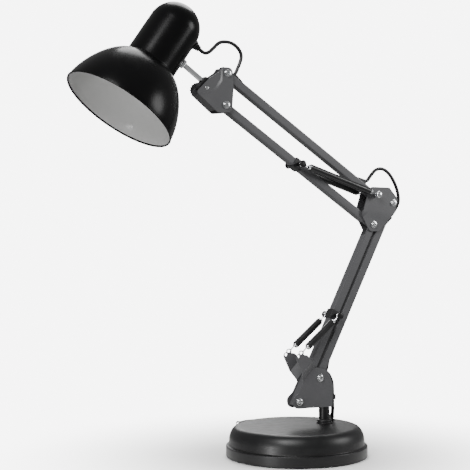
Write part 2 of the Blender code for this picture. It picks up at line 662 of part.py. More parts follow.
def make_lower_arm():
    """The two lower links, their cord guides, and the springs from the turret's ears."""
    left = make_tube("lower_left_tube", "lower_left_link", P1, LOWER_DIR, LOWER_ARM_LENGTH)
    inner = TUBE_HALF - TUBE_WALL
    mouth = block_at("fork_slot", B, LOWER_DIR, (-0.02, -inner, -FORK_DEPTH), (0.02, inner, 0.02))
    combine(left, mouth, "DIFFERENCE")
    cross_hole(left, at(LOWER_SPRING_PIN), PIN_RADIUS + GAP)
    right = make_tube("lower_right_tube", "lower_right_link", P2, LOWER_DIR, LOWER_ARM_LENGTH)
    make_guide("cord_guide_foot", right, "lower_right_link", FOOT_MOUTH)
    make_guide("cord_guide_elbow_lower", right, "lower_right_link", LOWER_ELBOW_MOUTH)
    make_spring_pin("lower_spring_pin", "lower_left_link", LOWER_SPRING_PIN)
    make_saddle("lower_spring_clip", "lower_left_link", LOWER_SPRING_PIN, LOWER_DIR)
    for tag, y in (("front", -SPRING_PLANE), ("rear", SPRING_PLANE)):
        make_spring(f"lower_spring_{tag}", "turret", EAR_EYE, LOWER_SPRING_PIN, y, 0.0085,
                    PIN_RADIUS + 2 * GAP)


def make_upper_arm():
    """The two upper links, their cord guides, and the springs from the elbow's top bolt."""
    top = make_tube("upper_top_tube", "upper_top_link", A, UPPER_DIR, UPPER_ARM_LENGTH)
    make_guide("cord_guide_elbow_upper", top, "upper_top_link", UPPER_ELBOW_MOUTH)
    make_guide("cord_guide_head", top, "upper_top_link", HEAD_MOUTH)
    h = TUBE_HALF
    w = h - TUBE_WALL
    outer = rounded([(-h, -h, 0.0012), (h, -h, 0.0012), (h, h, 0.0012), (-h, h, 0.0012)], 2)
    inner = [(-w, -w), (w, -w), (w, w), (-w, w)]
    length = UPPER_ARM_LENGTH - TONGUE_START + TUBE_OVERHANG
    tube = as_mesh(outline_object("upper_bottom_tube", [outer, inner], length))
    settle(tube, "upper_bottom_link", at(B + UPPER_DIR * (TONGUE_START + length / 2)), along(UPPER_DIR),
           GREY_PAINT)
    plug = block_at("tongue_plug", B, UPPER_DIR, (-w - 0.0003, -w - 0.0003, TONGUE_START + 0.0005),
                    (w + 0.0003, w + 0.0003, TONGUE_START + 0.012))
    half = TONGUE_THICKNESS / 2
    tongue = block_at("tongue", B, UPPER_DIR, (-w + 0.0005, -half, -0.0055), (w - 0.0005, half,
                                                                              TONGUE_START + 0.010))
    combine(plug, tongue, "UNION")
    combine(tube, plug, "UNION")
    cross_hole(tube, at(B), BOLT_HOLE)
    cross_hole(tube, at(B_HEAD), BOLT_HOLE)
    cross_hole(tube, at(UPPER_SPRING_PIN), PIN_RADIUS + GAP)
    make_spring_pin("upper_spring_pin", "upper_bottom_link", UPPER_SPRING_PIN)
    make_saddle("upper_spring_clip", "upper_bottom_link", UPPER_SPRING_PIN, UPPER_DIR)
    for tag, y in (("front", -SPRING_PLANE), ("rear", SPRING_PLANE)):
        make_spring(f"upper_spring_{tag}", "elbow", A, UPPER_SPRING_PIN, y, BOLT_RADIUS + 2 * GAP,
                    PIN_RADIUS + 2 * GAP)


# ---------------------------------------------------------------- elbow and head brackets
def make_folded_bracket(name, body, plate, holes, slot, wide_slot, narrow_end, slope):
    """Two plates and the web that joins them, sloping in to a narrow end where they are closer together."""
    bracket = as_mesh(outline_object(name, [plate] + holes, 2 * RAISED_OUT))
    settle(bracket, body, (0, 0, 0), SIDEWAYS, GREY_PAINT)
    for tag, outline, half in (("slot", slot, PLATE_IN), ("wide_slot", wide_slot,
                                                          RAISED_OUT - PLATE_THICKNESS)):
        cutter = as_mesh(outline_object(f"{name}_{tag}", [outline], 2 * half))
        guide(cutter, SIDEWAYS)
        combine(bracket, cutter, "DIFFERENCE")
    for side in (-1, 1):
        depth = 2 * PRESSING_DEPTH
        cutter = as_mesh(outline_object(f"{name}_step_{side}", [narrow_end], depth))
        for vertex in cutter.data.vertices:
            vertex.co.xy += slope if vertex.co.z * side < 0 else -slope
        guide(cutter, Matrix.Translation((0, side * (PLATE_OUT + depth / 2), 0)) @ SIDEWAYS)
        combine(bracket, cutter, "DIFFERENCE")


def make_elbow():
    """The elbow bracket with its three pivots: top link, bottom link with the left link, and right link."""
    plate = rounded([
        (A.x - 0.0065, A.y + 0.0105, 0.004), (C.x - 0.0065, A.y + 0.0100, 0.004), (C.x + 0.0068,
                                                                                   C.y + 0.0060, 0.005),
        (C.x + 0.0025, C.y - 0.0120, 0.008), (B.x + 0.0085, B.y - 0.0085, 0.006), (B.x - 0.0060,
                                                                                   B.y - 0.0090, 0.007),
        (B.x - 0.0190, B.y + 0.0130, 0.004), (A.x - 0.0130, A.y - 0.0020, 0.006)])
    holes = [circle(BOLT_HOLE, 12, p) for p in (A, B, C)]
    web_top = A.y + 0.0100 - PLATE_THICKNESS
    web_left = A.x + 0.0110
    web_right = C.x - 0.0080
    slot = [(A.x - 0.05, B.y - 0.05), (C.x + 0.05, B.y - 0.05), (C.x + 0.05, A.y + 0.05),
            (web_right, A.y + 0.05),
            (web_right, web_top), (web_left, web_top), (web_left, A.y + 0.05), (A.x - 0.05, A.y + 0.05)]
    step = [(-0.0175, 0.0173), (-0.0080, 0.0183), (0.0000, 0.0180), (0.0080, 0.0165), (0.0160, 0.0140),
            (0.0450, 0.0060)]
    end = [(-0.0350, 0.0173)] + step + [(0.0450, -0.0300), (-0.0350, -0.0300)]
    narrow_end = [B + Vector(p) for p in end]
    middle = [B + Vector((x, z + PLATE_THICKNESS)) for x, z in [(-0.0350, 0.0173)] + step]
    wide_slot = middle + [(C.x + 0.05, A.y + 0.05), (web_right, A.y + 0.05), (web_right, web_top),
                          (web_left, web_top),
                          (web_left, A.y + 0.05), (B.x - 0.0350, A.y + 0.05)]
    make_folded_bracket("elbow_bracket", "elbow", plate, holes, slot, wide_slot, narrow_end,
                        Vector((0, ELBOW_SLOPE)))
    make_bolt("bolt_elbow_top", "elbow", A, PIN_HALF, PIN_HALF + GAP + NUT_HEIGHT + 0.0012)
    make_nut("nut_elbow_top", "elbow", A, PIN_HALF)
    make_fastening("elbow_bottom", "elbow", B, PLATE_OUT)
    make_fastening("elbow_right", "elbow", C, RAISED_OUT)


def make_head():
    """The head bracket with its two pivots, the clamp stud and the knob that tightens it."""
    tip = TILT_PIVOT + Vector((-0.0150, -0.0040))
    plate = rounded([
        (A_HEAD.x + 0.0070, A_HEAD.y + 0.0070, 0.006), (A_HEAD.x + 0.0085, A_HEAD.y - 0.0180, 0.004),
        (B_HEAD.x + 0.0080, B_HEAD.y - 0.0080, 0.006), (B_HEAD.x - 0.0110, B_HEAD.y - 0.0100, 0.006),
        (tip.x, tip.y - 0.0020, 0.004), (TILT_PIVOT.x + 0.0030, TILT_PIVOT.y + 0.0120, 0.004),
        (A_HEAD.x - 0.0110, A_HEAD.y + 0.0010, 0.008), (A_HEAD.x - 0.0060, A_HEAD.y + 0.0070, 0.005)])
    holes = [circle(BOLT_HOLE, 12, p) for p in (A_HEAD, B_HEAD, TILT_PIVOT)]
    foot = B_HEAD + Vector((-0.0110, -0.0100))
    run = (foot - tip).normalized()
    inwards = Vector((-run.y, run.x))
    web_start = tip + run * 0.0070 + inwards * PLATE_THICKNESS
    web_end = foot + run * -0.0050 + inwards * PLATE_THICKNESS
    away = inwards * -0.03
    slot = [(-0.30, 0.30), tuple(web_start + away - run * 0.08), tuple(web_start + away), tuple(web_start),
            tuple(web_end),
            tuple(web_end + away), tuple(web_end + away + run * 0.08), (0.02, 0.60), (-0.30, 0.60)]
    step = [(-0.0650, 0.0111), (-0.0358, 0.0111), (-0.0208, 0.0121), (-0.0123, 0.0196), (-0.0053, 0.0296),
            (-0.0043, 0.0700)]
    narrow_end = [B_HEAD + Vector(p) for p in step + [(-0.0650, 0.0700)]]
    corner = web_start + run * 0.0060
    shift = Vector((PLATE_THICKNESS, -PLATE_THICKNESS))
    middle = [B_HEAD + Vector(p) + shift for p in reversed(step[2:])]
    wide_slot = [tuple(p) for p in middle] + [tuple(corner), tuple(web_end), tuple(web_end + away),
                                              tuple(web_end + away + run * 0.08), (0.02, 0.60)]
    make_folded_bracket("head_bracket", "head", plate, holes, slot, wide_slot, narrow_end,
                        HEAD_SLOPE * Vector((0.6, -0.8)))
    make_fastening("head_top", "head", A_HEAD, RAISED_OUT)
    make_fastening("head_bottom", "head", B_HEAD, RAISED_OUT)
    stud_end = RAISED_OUT + 0.0170
    stud = turned_object("clamp_stud", [(0, PLATE_OUT), (BOLT_RADIUS, PLATE_OUT), (BOLT_RADIUS, -stud_end),
                                        (0, -stud_end)], SMALL_STEPS)
    settle(stud, "head", at(TILT_PIVOT), SIDEWAYS, STEEL)

    lobes = 5
    steps = 40
    outline = []
    for k in range(steps):
        angle = 2 * math.pi * k / steps
        radius = KNOB_RADIUS - 0.0012 + 0.0012 * math.cos(lobes * angle)
        outline.append(Vector((radius * math.cos(angle), radius * math.sin(angle))))
    knob_start = RAISED_OUT + 0.0060
    knob = as_mesh(outline_object("clamp_knob", [outline], 0.0080))
    settle(knob, "clamp_knob", at(TILT_PIVOT, knob_start + 0.0040), SIDEWAYS, PLASTIC)
    hub = rod_mesh("knob_hub", 0.0056, 0.0100)
    guide(hub, Matrix.Translation(at(TILT_PIVOT, PLATE_OUT + GAP + 0.0050)) @ SIDEWAYS)
    combine(knob, hub, "UNION")
    cross_hole(knob, at(TILT_PIVOT, RAISED_OUT), BOLT_HOLE, 0.0170 + GAP)


def make_knuckle():
    """The block that tilts on the clamp stud, and the rod it holds."""
    offset = (TILT_PIVOT - ROD_START).dot(SHADE_SIDE)
    drop = (TILT_PIVOT - ROD_START).dot(SHADE_AXIS)
    half = PLATE_IN - 2 * GAP
    shape = rounded([(offset - 0.0090, drop - 0.0060, 0.004), (offset + 0.0085, drop - 0.0060, 0.006),
                     (offset + 0.0085, 0.0052, 0.004), (offset - 0.0090, 0.0052, 0.0015)])
    block = as_mesh(outline_object("tilt_block", [shape, circle(BOLT_HOLE, 12, (offset, drop))], 2 * half))
    turn = columns((SHADE_SIDE.x, 0, SHADE_SIDE.y), (SHADE_AXIS.x, 0, SHADE_AXIS.y), (0, -1, 0))
    settle(block, "knuckle", at(ROD_START), turn, BLACK_PAINT)
    socket = rod_mesh("rod_socket", ROD_RADIUS + GAP, 0.0400)
    rod_end = at(ROD_START + SHADE_SIDE * (ROD_REACH + GAP - 0.0200))
    guide(socket, Matrix.Translation(rod_end) @ along(SHADE_SIDE))
    combine(block, socket, "DIFFERENCE")

    length = ROD_REACH + ROD_INSIDE
    rod = turned_object("shade_rod", [(0, length / 2), (ROD_RADIUS - 0.0004, length / 2),
                                      (ROD_RADIUS, length / 2 - 0.0004),
                                      (ROD_RADIUS, -length / 2 + 0.0004), (ROD_RADIUS - 0.0004,
                                                                           -length / 2), (0,
                                                                                          -length / 2)], 20)
    settle(rod, "knuckle", at(ROD_START + SHADE_SIDE * (ROD_REACH - length / 2)), along(SHADE_SIDE), CHROME)


# ---------------------------------------------------------------- shade
def bell_radius(height):
    """The bell's outer radius at a height above the rim."""
    power = 1.55
    share = 1 - (height / BELL_HEIGHT) ** power
    return NECK_RADIUS + (RIM_RADIUS - NECK_RADIUS) * share ** (1 / power)


def make_shade():
    """The bell shade, its lampholder, the nuts on the rod, and the cord sleeve."""
    turn = along(SHADE_AXIS)
    dome = arc((0, NECK_END), NECK_RADIUS, 90, 0, 7)
    heights = [1.0, 0.985, 0.94, 0.86, 0.74, 0.60, 0.44, 0.26, 0.10, 0.0]
    bell = [(bell_radius(BELL_HEIGHT * h), BELL_HEIGHT * h) for h in heights]
    profile = dome + [(NECK_RADIUS, BELL_HEIGHT + 0.004)] + bell[1:] + [(RIM_RADIUS + 0.0004, -0.0012)]
    shade = turned_object("shade", profile, ROUND_STEPS)
    wall = shade.modifiers.new("wall", "SOLIDIFY")
    wall.thickness = SHADE_WALL
    wall.offset = -1
    settle(shade, "shade", at(SHADE_RIM), turn, BLACK_PAINT)
    rod_hole = rod_mesh("rod_hole", ROD_RADIUS + GAP, 0.012)
    guide(rod_hole, Matrix.Translation(at(ROD_START)) @ along(SHADE_SIDE))
    combine(shade, rod_hole, "DIFFERENCE")
    entry = SHADE_RIM + SHADE_AXIS * CORD_ENTRY_HEIGHT + SHADE_SIDE * NECK_RADIUS
    neck = 0.0038
    entry_hole = rod_mesh("cord_entry_hole", neck + GAP, 0.012)
    guide(entry_hole, Matrix.Translation(at(entry)) @ along(SHADE_SIDE))
    combine(shade, entry_hole, "DIFFERENCE")

    ribs = [(0, SLEEVE_LENGTH), (0.0030, SLEEVE_LENGTH)]
    for k in range(3):
        low = SLEEVE_LENGTH - 0.0022 * (k + 1)
        ribs += [(0.0036 + 0.0006 * k, low + 0.0012), (0.0030 + 0.0006 * k, low)]
    ribs += [(0.0062, 0.0020), (0.0062, 0.0009), (neck, 0.0009), (neck, -0.0016), (0, -0.0016)]
    sleeve = turned_object("shade_cord_sleeve", ribs, SMALL_STEPS)
    settle(sleeve, "shade", at(entry), along(SHADE_SIDE), PLASTIC)

    bore = ROD_RADIUS + GAP
    knurled = [(bore, ROD_NUT_HEIGHT), (ROD_NUT_RADIUS - 0.0006, ROD_NUT_HEIGHT), (ROD_NUT_RADIUS,
                                                                                   ROD_NUT_HEIGHT - 0.0006),
               (ROD_NUT_RADIUS, 0.0010), (ROD_NUT_RADIUS - 0.0006, GAP), (bore, GAP)]
    nut = turned_object("rod_nut_outer", knurled, 20, closed=True)
    settle(nut, "shade", at(ROD_START), along(SHADE_SIDE), CHROME)
    inside = NECK_RADIUS - SHADE_WALL - 0.0010
    hexagon = circle(0.0055 / math.cos(math.pi / 6), 6)
    nut = outline_object("rod_nut_inner", [hexagon, circle(bore, 16)], 0.0040)
    place = SHADE_RIM + SHADE_AXIS * ROD_HEIGHT + SHADE_SIDE * (inside - 0.0020)
    settle(nut, "shade", at(place), along(SHADE_SIDE), STEEL)

    flange = HOLDER_MOUTH + 0.0230
    top = HOLDER_MOUTH + HOLDER_LENGTH
    reach = NECK_RADIUS - SHADE_WALL - 2 * GAP
    profile = [(0, top), (0.0090, top), (0.0105, top - 0.0120), (HOLDER_RADIUS - 0.0030, top - 0.0180),
               (HOLDER_RADIUS - 0.0030, flange), (reach, flange), (reach, flange - 0.0015), (HOLDER_RADIUS,
                                                                                             flange - 0.0015),
               (HOLDER_RADIUS, HOLDER_MOUTH + 0.0010), (HOLDER_RADIUS - 0.0010, HOLDER_MOUTH),
               (HOLDER_MOUTH_RADIUS, HOLDER_MOUTH), (HOLDER_MOUTH_RADIUS, top - 0.0220), (0, top - 0.0220)]
    holder = turned_object("lampholder", profile, 28)
    settle(holder, "shade", at(SHADE_RIM), turn, CERAMIC)


# ---------------------------------------------------------------- cord
def smooth_route(points, spacing):
    """Straight first and last stretches, and evenly spaced points on a Catmull-Rom curve between them."""
    route = [Vector(p) for p in points]
    fine = []
    for i in range(1, len(route) - 2):
        p0, p1, p2, p3 = route[i - 1], route[i], route[i + 1], route[i + 2]
        for k in range(12):
            t = k / 12
            fine.append(0.5 * (2 * p1 + (p2 - p0) * t + (2 * p0 - 5 * p1 + 4 * p2 - p3) * t * t
                               + (3 * p1 - p0 - 3 * p2 + p3) * t ** 3))
    fine.append(route[-2])
    total = sum((b - a).length for a, b in zip(fine, fine[1:]))
    count = max(2, round(total / spacing))
    step = total / count
    even = [fine[0]]
    gone = 0.0
    for a, b in zip(fine, fine[1:]):
        length = (b - a).length
        while length > 0 and gone + length >= step * len(even) and len(even) < count:
            even.append(a.lerp(b, (step * len(even) - gone) / length))
        gone += length
    return [route[0]] + even + [route[-2], route[-1]]


def make_cord(name, body, points, spacing=2.5 * CORD_DIAMETER, sides=2):
    """A plain round cord along a route."""
    curve = bpy.data.curves.new(name, "CURVE")
    curve.dimensions = "3D"
    curve.bevel_depth = CORD_RADIUS
    curve.bevel_resolution = sides
    curve.use_fill_caps = True
    spline = curve.splines.new("POLY")
    route = smooth_route(points, spacing)
    spline.points.add(len(route) - 1)
    for point, place in zip(spline.points, route):
        point.co = (*(place - BODIES[body]), 1)
    cord = bpy.data.objects.new(name, curve)
    settle(cord, body, BODIES[body], None, PVC)


def between_mouths(start, end, offsets, corner):
    """A loop's route in the arm plane: out of one guide, past chosen offsets from a pivot, into another."""
    (first, first_way), (last, last_way) = start, end
    lead = 0.9 * CORD_DIAMETER
    points = [first + first_way * GAP, first + first_way * lead]
    points += [corner + Vector(offset) for offset in offsets]
    points += [last + last_way * lead, last + last_way * GAP]
    return [at(point) for point in points]


def make_cords():
    """The cord where the arms show it, then the mains lead with its coil, tie, switch and plug."""
    top = CLIP_HEIGHT + CLIP_THICKNESS / 2
    sleeve = (SLEEVE_END, SHADE_SIDE)
    offsets = [(-0.0262, 0.0238), (-0.0212, 0.0252), (-0.0162, 0.0292),
               (-0.0050, 0.0385), (0.0100, 0.0390), (0.0210, 0.0320),
               (0.0245, 0.0215)]
    make_cord("cord_head_loop", "head", between_mouths(sleeve, mouth_of(HEAD_MOUTH), offsets, A_HEAD),
              2 * CORD_DIAMETER)
    offsets = [(-0.0310, 0.0360), (-0.0225, 0.0440), (-0.0120, 0.0458), (-0.0010, 0.0400), (0.0085, 0.0275),
               (0.0142, 0.0130), (0.0140, 0.0000)]
    mouths = mouth_of(UPPER_ELBOW_MOUTH), mouth_of(LOWER_ELBOW_MOUTH)
    make_cord("cord_elbow_loop", "elbow", between_mouths(*mouths, offsets, C), 2 * CORD_DIAMETER)
    clip = Vector((CORD_DROP_X, top)), Vector((0, 1))
    offsets = [(0.0193, 0.0010), (0.0232, -0.0080)]
    make_cord("cord_foot_loop", "turret", between_mouths(mouth_of(FOOT_MOUTH), clip, offsets, P2),
              2 * CORD_DIAMETER)

    make_mains_lead(top)
    make_coil()
    make_switch()
    make_plug()


def make_mains_lead(top):
    """The lead down from its clip, over the base's back edge and along the floor to the coil."""
    ride = BASE_HEIGHT + CORD_RADIUS + 0.0006
    over = math.sqrt(DRUM_RADIUS ** 2 - 0.0500 ** 2)
    arrive = COIL_BACK - COIL_RADIUS - CORD_DIAMETER
    lead = [(CORD_DROP_X, 0, top), (CORD_DROP_X, 0, CLIP_HEIGHT - 0.0060), (CORD_DROP_X + 0.0015, 0.0020,
                                                                            0.0560),
            (CORD_DROP_X + 0.0040, 0.0065, ride + 0.0060), (CORD_DROP_X + 0.0090, 0.0150, ride + 0.0008),
            behind(0.0505, over - 0.0190, ride), behind(0.0505, over - 0.0080, ride), behind(0.0500,
                                                                                             over + 0.0010, ride - 0.0010),
            behind(0.0485, over + 0.0085, 0.0345), behind(0.0450, over + 0.0155, 0.0225), behind(0.0400,
                                                                                                 over + 0.0225, 0.0115),
            behind(0.0325, over + 0.0290, 0.0048), behind(0.0215, over + 0.0345, CORD_REST),
            behind(0.0050, arrive - 0.0020, CORD_REST), behind(-0.0130, arrive - 0.0003, CORD_REST),
            behind(COIL_ACROSS + COIL_EDGE + 0.0040, arrive, CORD_REST), behind(COIL_ACROSS + COIL_EDGE,
                                                                                arrive, CORD_REST)]
    make_cord("mains_lead", "base", lead)


def make_coil():
    """The ring that the coiled cord fills, and the tie round it."""
    soft = 0.0018
    section = rounded([(COIL_INNER, COIL_LOW, soft), (COIL_INNER, COIL_HIGH, soft),
                       (COIL_OUTER, COIL_HIGH, soft), (COIL_OUTER, COIL_LOW, soft)], 2)
    coil = turned_object("cord_coil", [tuple(p) for p in section], 32, closed=True)
    settle(coil, "base", behind(COIL_ACROSS, COIL_BACK, 0), None, PVC)
    play = GAP + TIE_WIDTH ** 2 / (8 * COIL_INNER)
    low_r, high_r = COIL_INNER - play, COIL_OUTER + play
    low_z, high_z = COIL_LOW - GAP, COIL_HIGH + GAP
    hole = rounded([(low_r, low_z, soft), (high_r, low_z, soft), (high_r, high_z, soft), (low_r, high_z,
                                                                                          soft)], 2)
    wall = TIE_THICKNESS
    band = rounded([(low_r - wall, low_z - wall, soft), (high_r + wall, low_z - wall, soft),
                    (high_r + wall, high_z + wall, soft), (low_r - wall, high_z + wall, soft)], 2)
    tie = outline_object("cord_tie", [band, hole], TIE_WIDTH)
    across = Vector((BACK_WAY.y, -BACK_WAY.x, 0))
    back = Vector((BACK_WAY.x, BACK_WAY.y, 0))
    settle(tie, "base", behind(COIL_ACROSS, COIL_BACK, 0), columns(-across, (0, 0, 1), back), FOAM)


def make_switch():
    """The switch on the mains lead: a case on the floor and a rocker that tilts in it."""
    half = SWITCH_LENGTH / 2
    wide = SWITCH_WIDTH / 2
    shape = rounded([(-half, -wide * 0.55, 0.003), (-half + 0.012, -wide, 0.010), (half - 0.012, -wide,
                                                                                   0.010), (half,
                                                                                            -wide * 0.55, 0.003),
                     (half, wide * 0.55, 0.003), (half - 0.012, wide, 0.010), (-half + 0.012, wide,
                                                                               0.010), (-half, wide * 0.55,
                                                                                        0.003)])
    case = as_mesh(outline_object("switch_case", [shape], SWITCH_HEIGHT - 0.0004))
    edge = case.modifiers.new("edge", "BEVEL")
    edge.width = 0.0016
    edge.segments = 2
    edge.limit_method = "ANGLE"
    edge.angle_limit = math.radians(50)
    turn = columns((BACK_WAY.y, -BACK_WAY.x, 0), (BACK_WAY.x, BACK_WAY.y, 0), (0, 0, 1))
    settle(case, "base", behind(SWITCH_ACROSS, SWITCH_BACK, SWITCH_HEIGHT / 2), turn, PLASTIC)
    pocket = box_mesh("rocker_pocket", (-0.0095, -0.0055, -0.0045), (0.0095, 0.0055, 0.02))
    guide(pocket, Matrix.Translation(behind(SWITCH_ACROSS, SWITCH_BACK, SWITCH_HEIGHT - 0.0035)) @ turn)
    combine(case, pocket, "DIFFERENCE")
    face = [(-0.0088, -0.0004), (-0.0075, -0.0016), (0.0075, -0.0016), (0.0088, -0.0004), (0.0088, 0.0022),
            (0.0050, 0.0030), (0, 0.0026), (-0.0050, 0.0030), (-0.0088, 0.0022)]
    rocker = outline_object("switch_rocker", [[Vector(p) for p in face]], 0.0100)
    upright = turn @ Matrix.Rotation(math.pi / 2, 4, "X")
    settle(rocker, "rocker", BODIES["rocker"], upright, PLASTIC)

    middle = SWITCH_HEIGHT / 2
    near = SWITCH_ACROSS - half - GAP
    leave = COIL_ACROSS + COIL_EDGE
    fall = [behind(leave, SWITCH_BACK, middle + 0.0020), behind(leave + 0.0030, SWITCH_BACK, middle + 0.0017),
            behind((leave + near) / 2, SWITCH_BACK, middle + 0.0009), behind(near - 0.0030, SWITCH_BACK,
                                                                             middle),
            behind(near, SWITCH_BACK, middle)]
    make_cord("switch_lead", "base", fall, 1.6 * CORD_DIAMETER)


def make_plug():
    """A flat two-pin plug with a tapered sleeve where the lead comes out."""
    turn = columns((-BACK_WAY.x, -BACK_WAY.y, 0), (BACK_WAY.y, -BACK_WAY.x, 0), (0, 0, 1))
    half = PLUG_LENGTH / 2
    shape = rounded([(-half, -0.0060, 0.002), (-half + 0.012, -0.0130, 0.006), (half, -0.0130, 0.002),
                     (half, 0.0130, 0.002), (-half + 0.012, 0.0130, 0.006), (-half, 0.0060, 0.002)])
    body = as_mesh(outline_object("mains_plug", [shape], PLUG_HEIGHT - 0.0004))
    edge = body.modifiers.new("edge", "BEVEL")
    edge.width = 0.0015
    edge.segments = 2
    edge.limit_method = "ANGLE"
    edge.angle_limit = math.radians(50)
    place = Matrix.Translation(behind(PLUG_ACROSS, PLUG_BACK, PLUG_HEIGHT / 2))
    settle(body, "base", place.translation, turn, PLASTIC)
    lengthways = Matrix.Rotation(math.pi / 2, 4, "Y")
    for side in (-1, 1):
        pin = rod_mesh(f"plug_pin_{side}", PLUG_PIN_RADIUS, PLUG_PIN_LENGTH + 0.004, 12)
        middle = Vector((half + PLUG_PIN_LENGTH / 2 - 0.002, side * PLUG_PIN_SPACING / 2, 0))
        guide(pin, place @ turn @ Matrix.Translation(middle) @ lengthways)
        combine(body, pin, "UNION")
    sleeve_length = RELIEF_LENGTH + 0.004
    sleeve = as_mesh(turned_object("plug_sleeve", [(0, sleeve_length / 2), (0.0052, sleeve_length / 2),
                                                   (0.0034, -sleeve_length / 2), (0,
                                                                                  -sleeve_length / 2)], SMALL_STEPS))
    middle = Vector((-half - RELIEF_LENGTH / 2 + 0.002, 0, 0))
    guide(sleeve, place @ turn @ Matrix.Translation(middle) @ lengthways)
    combine(body, sleeve, "UNION")

    far = SWITCH_ACROSS + SWITCH_LENGTH / 2 + GAP
    level = SWITCH_HEIGHT / 2
    end = PLUG_BACK + half + RELIEF_LENGTH + GAP
    centre = Vector((PLUG_ACROSS - TAIL_RADIUS, SWITCH_BACK - TAIL_RADIUS))
    tail = [behind(far, SWITCH_BACK, level), behind(far + 0.0030, SWITCH_BACK, level)]
    for angle, sink in ((75, 0.0015), (55, 0.0030), (35, 0.0035), (15, 0.0030)):
        reach = Vector((math.cos(math.radians(angle)), math.sin(math.radians(angle)))) * TAIL_RADIUS
        tail.append(behind(centre.x + reach.x, centre.y + reach.y, level - sink))
    tail += [behind(PLUG_ACROSS, end + 0.0012, PLUG_HEIGHT / 2), behind(PLUG_ACROSS, end, PLUG_HEIGHT / 2)]
    make_cord("plug_lead", "base", tail, 1.6 * CORD_DIAMETER)


def main():
    """Build every sub-part."""
    make_frames()
    make_base()
    make_turret()
    make_lower_arm()
    make_elbow()
    make_upper_arm()
    make_head()
    make_knuckle()
    make_shade()
    make_cords()


main()
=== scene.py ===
"""Studio picture of a spring-balanced desk lamp: fine geometry and finishes built round its CAD frame."""

import json
import logging
import math
from collections.abc import Callable, Iterable, Sequence
from dataclasses import dataclass, field
from enum import Enum

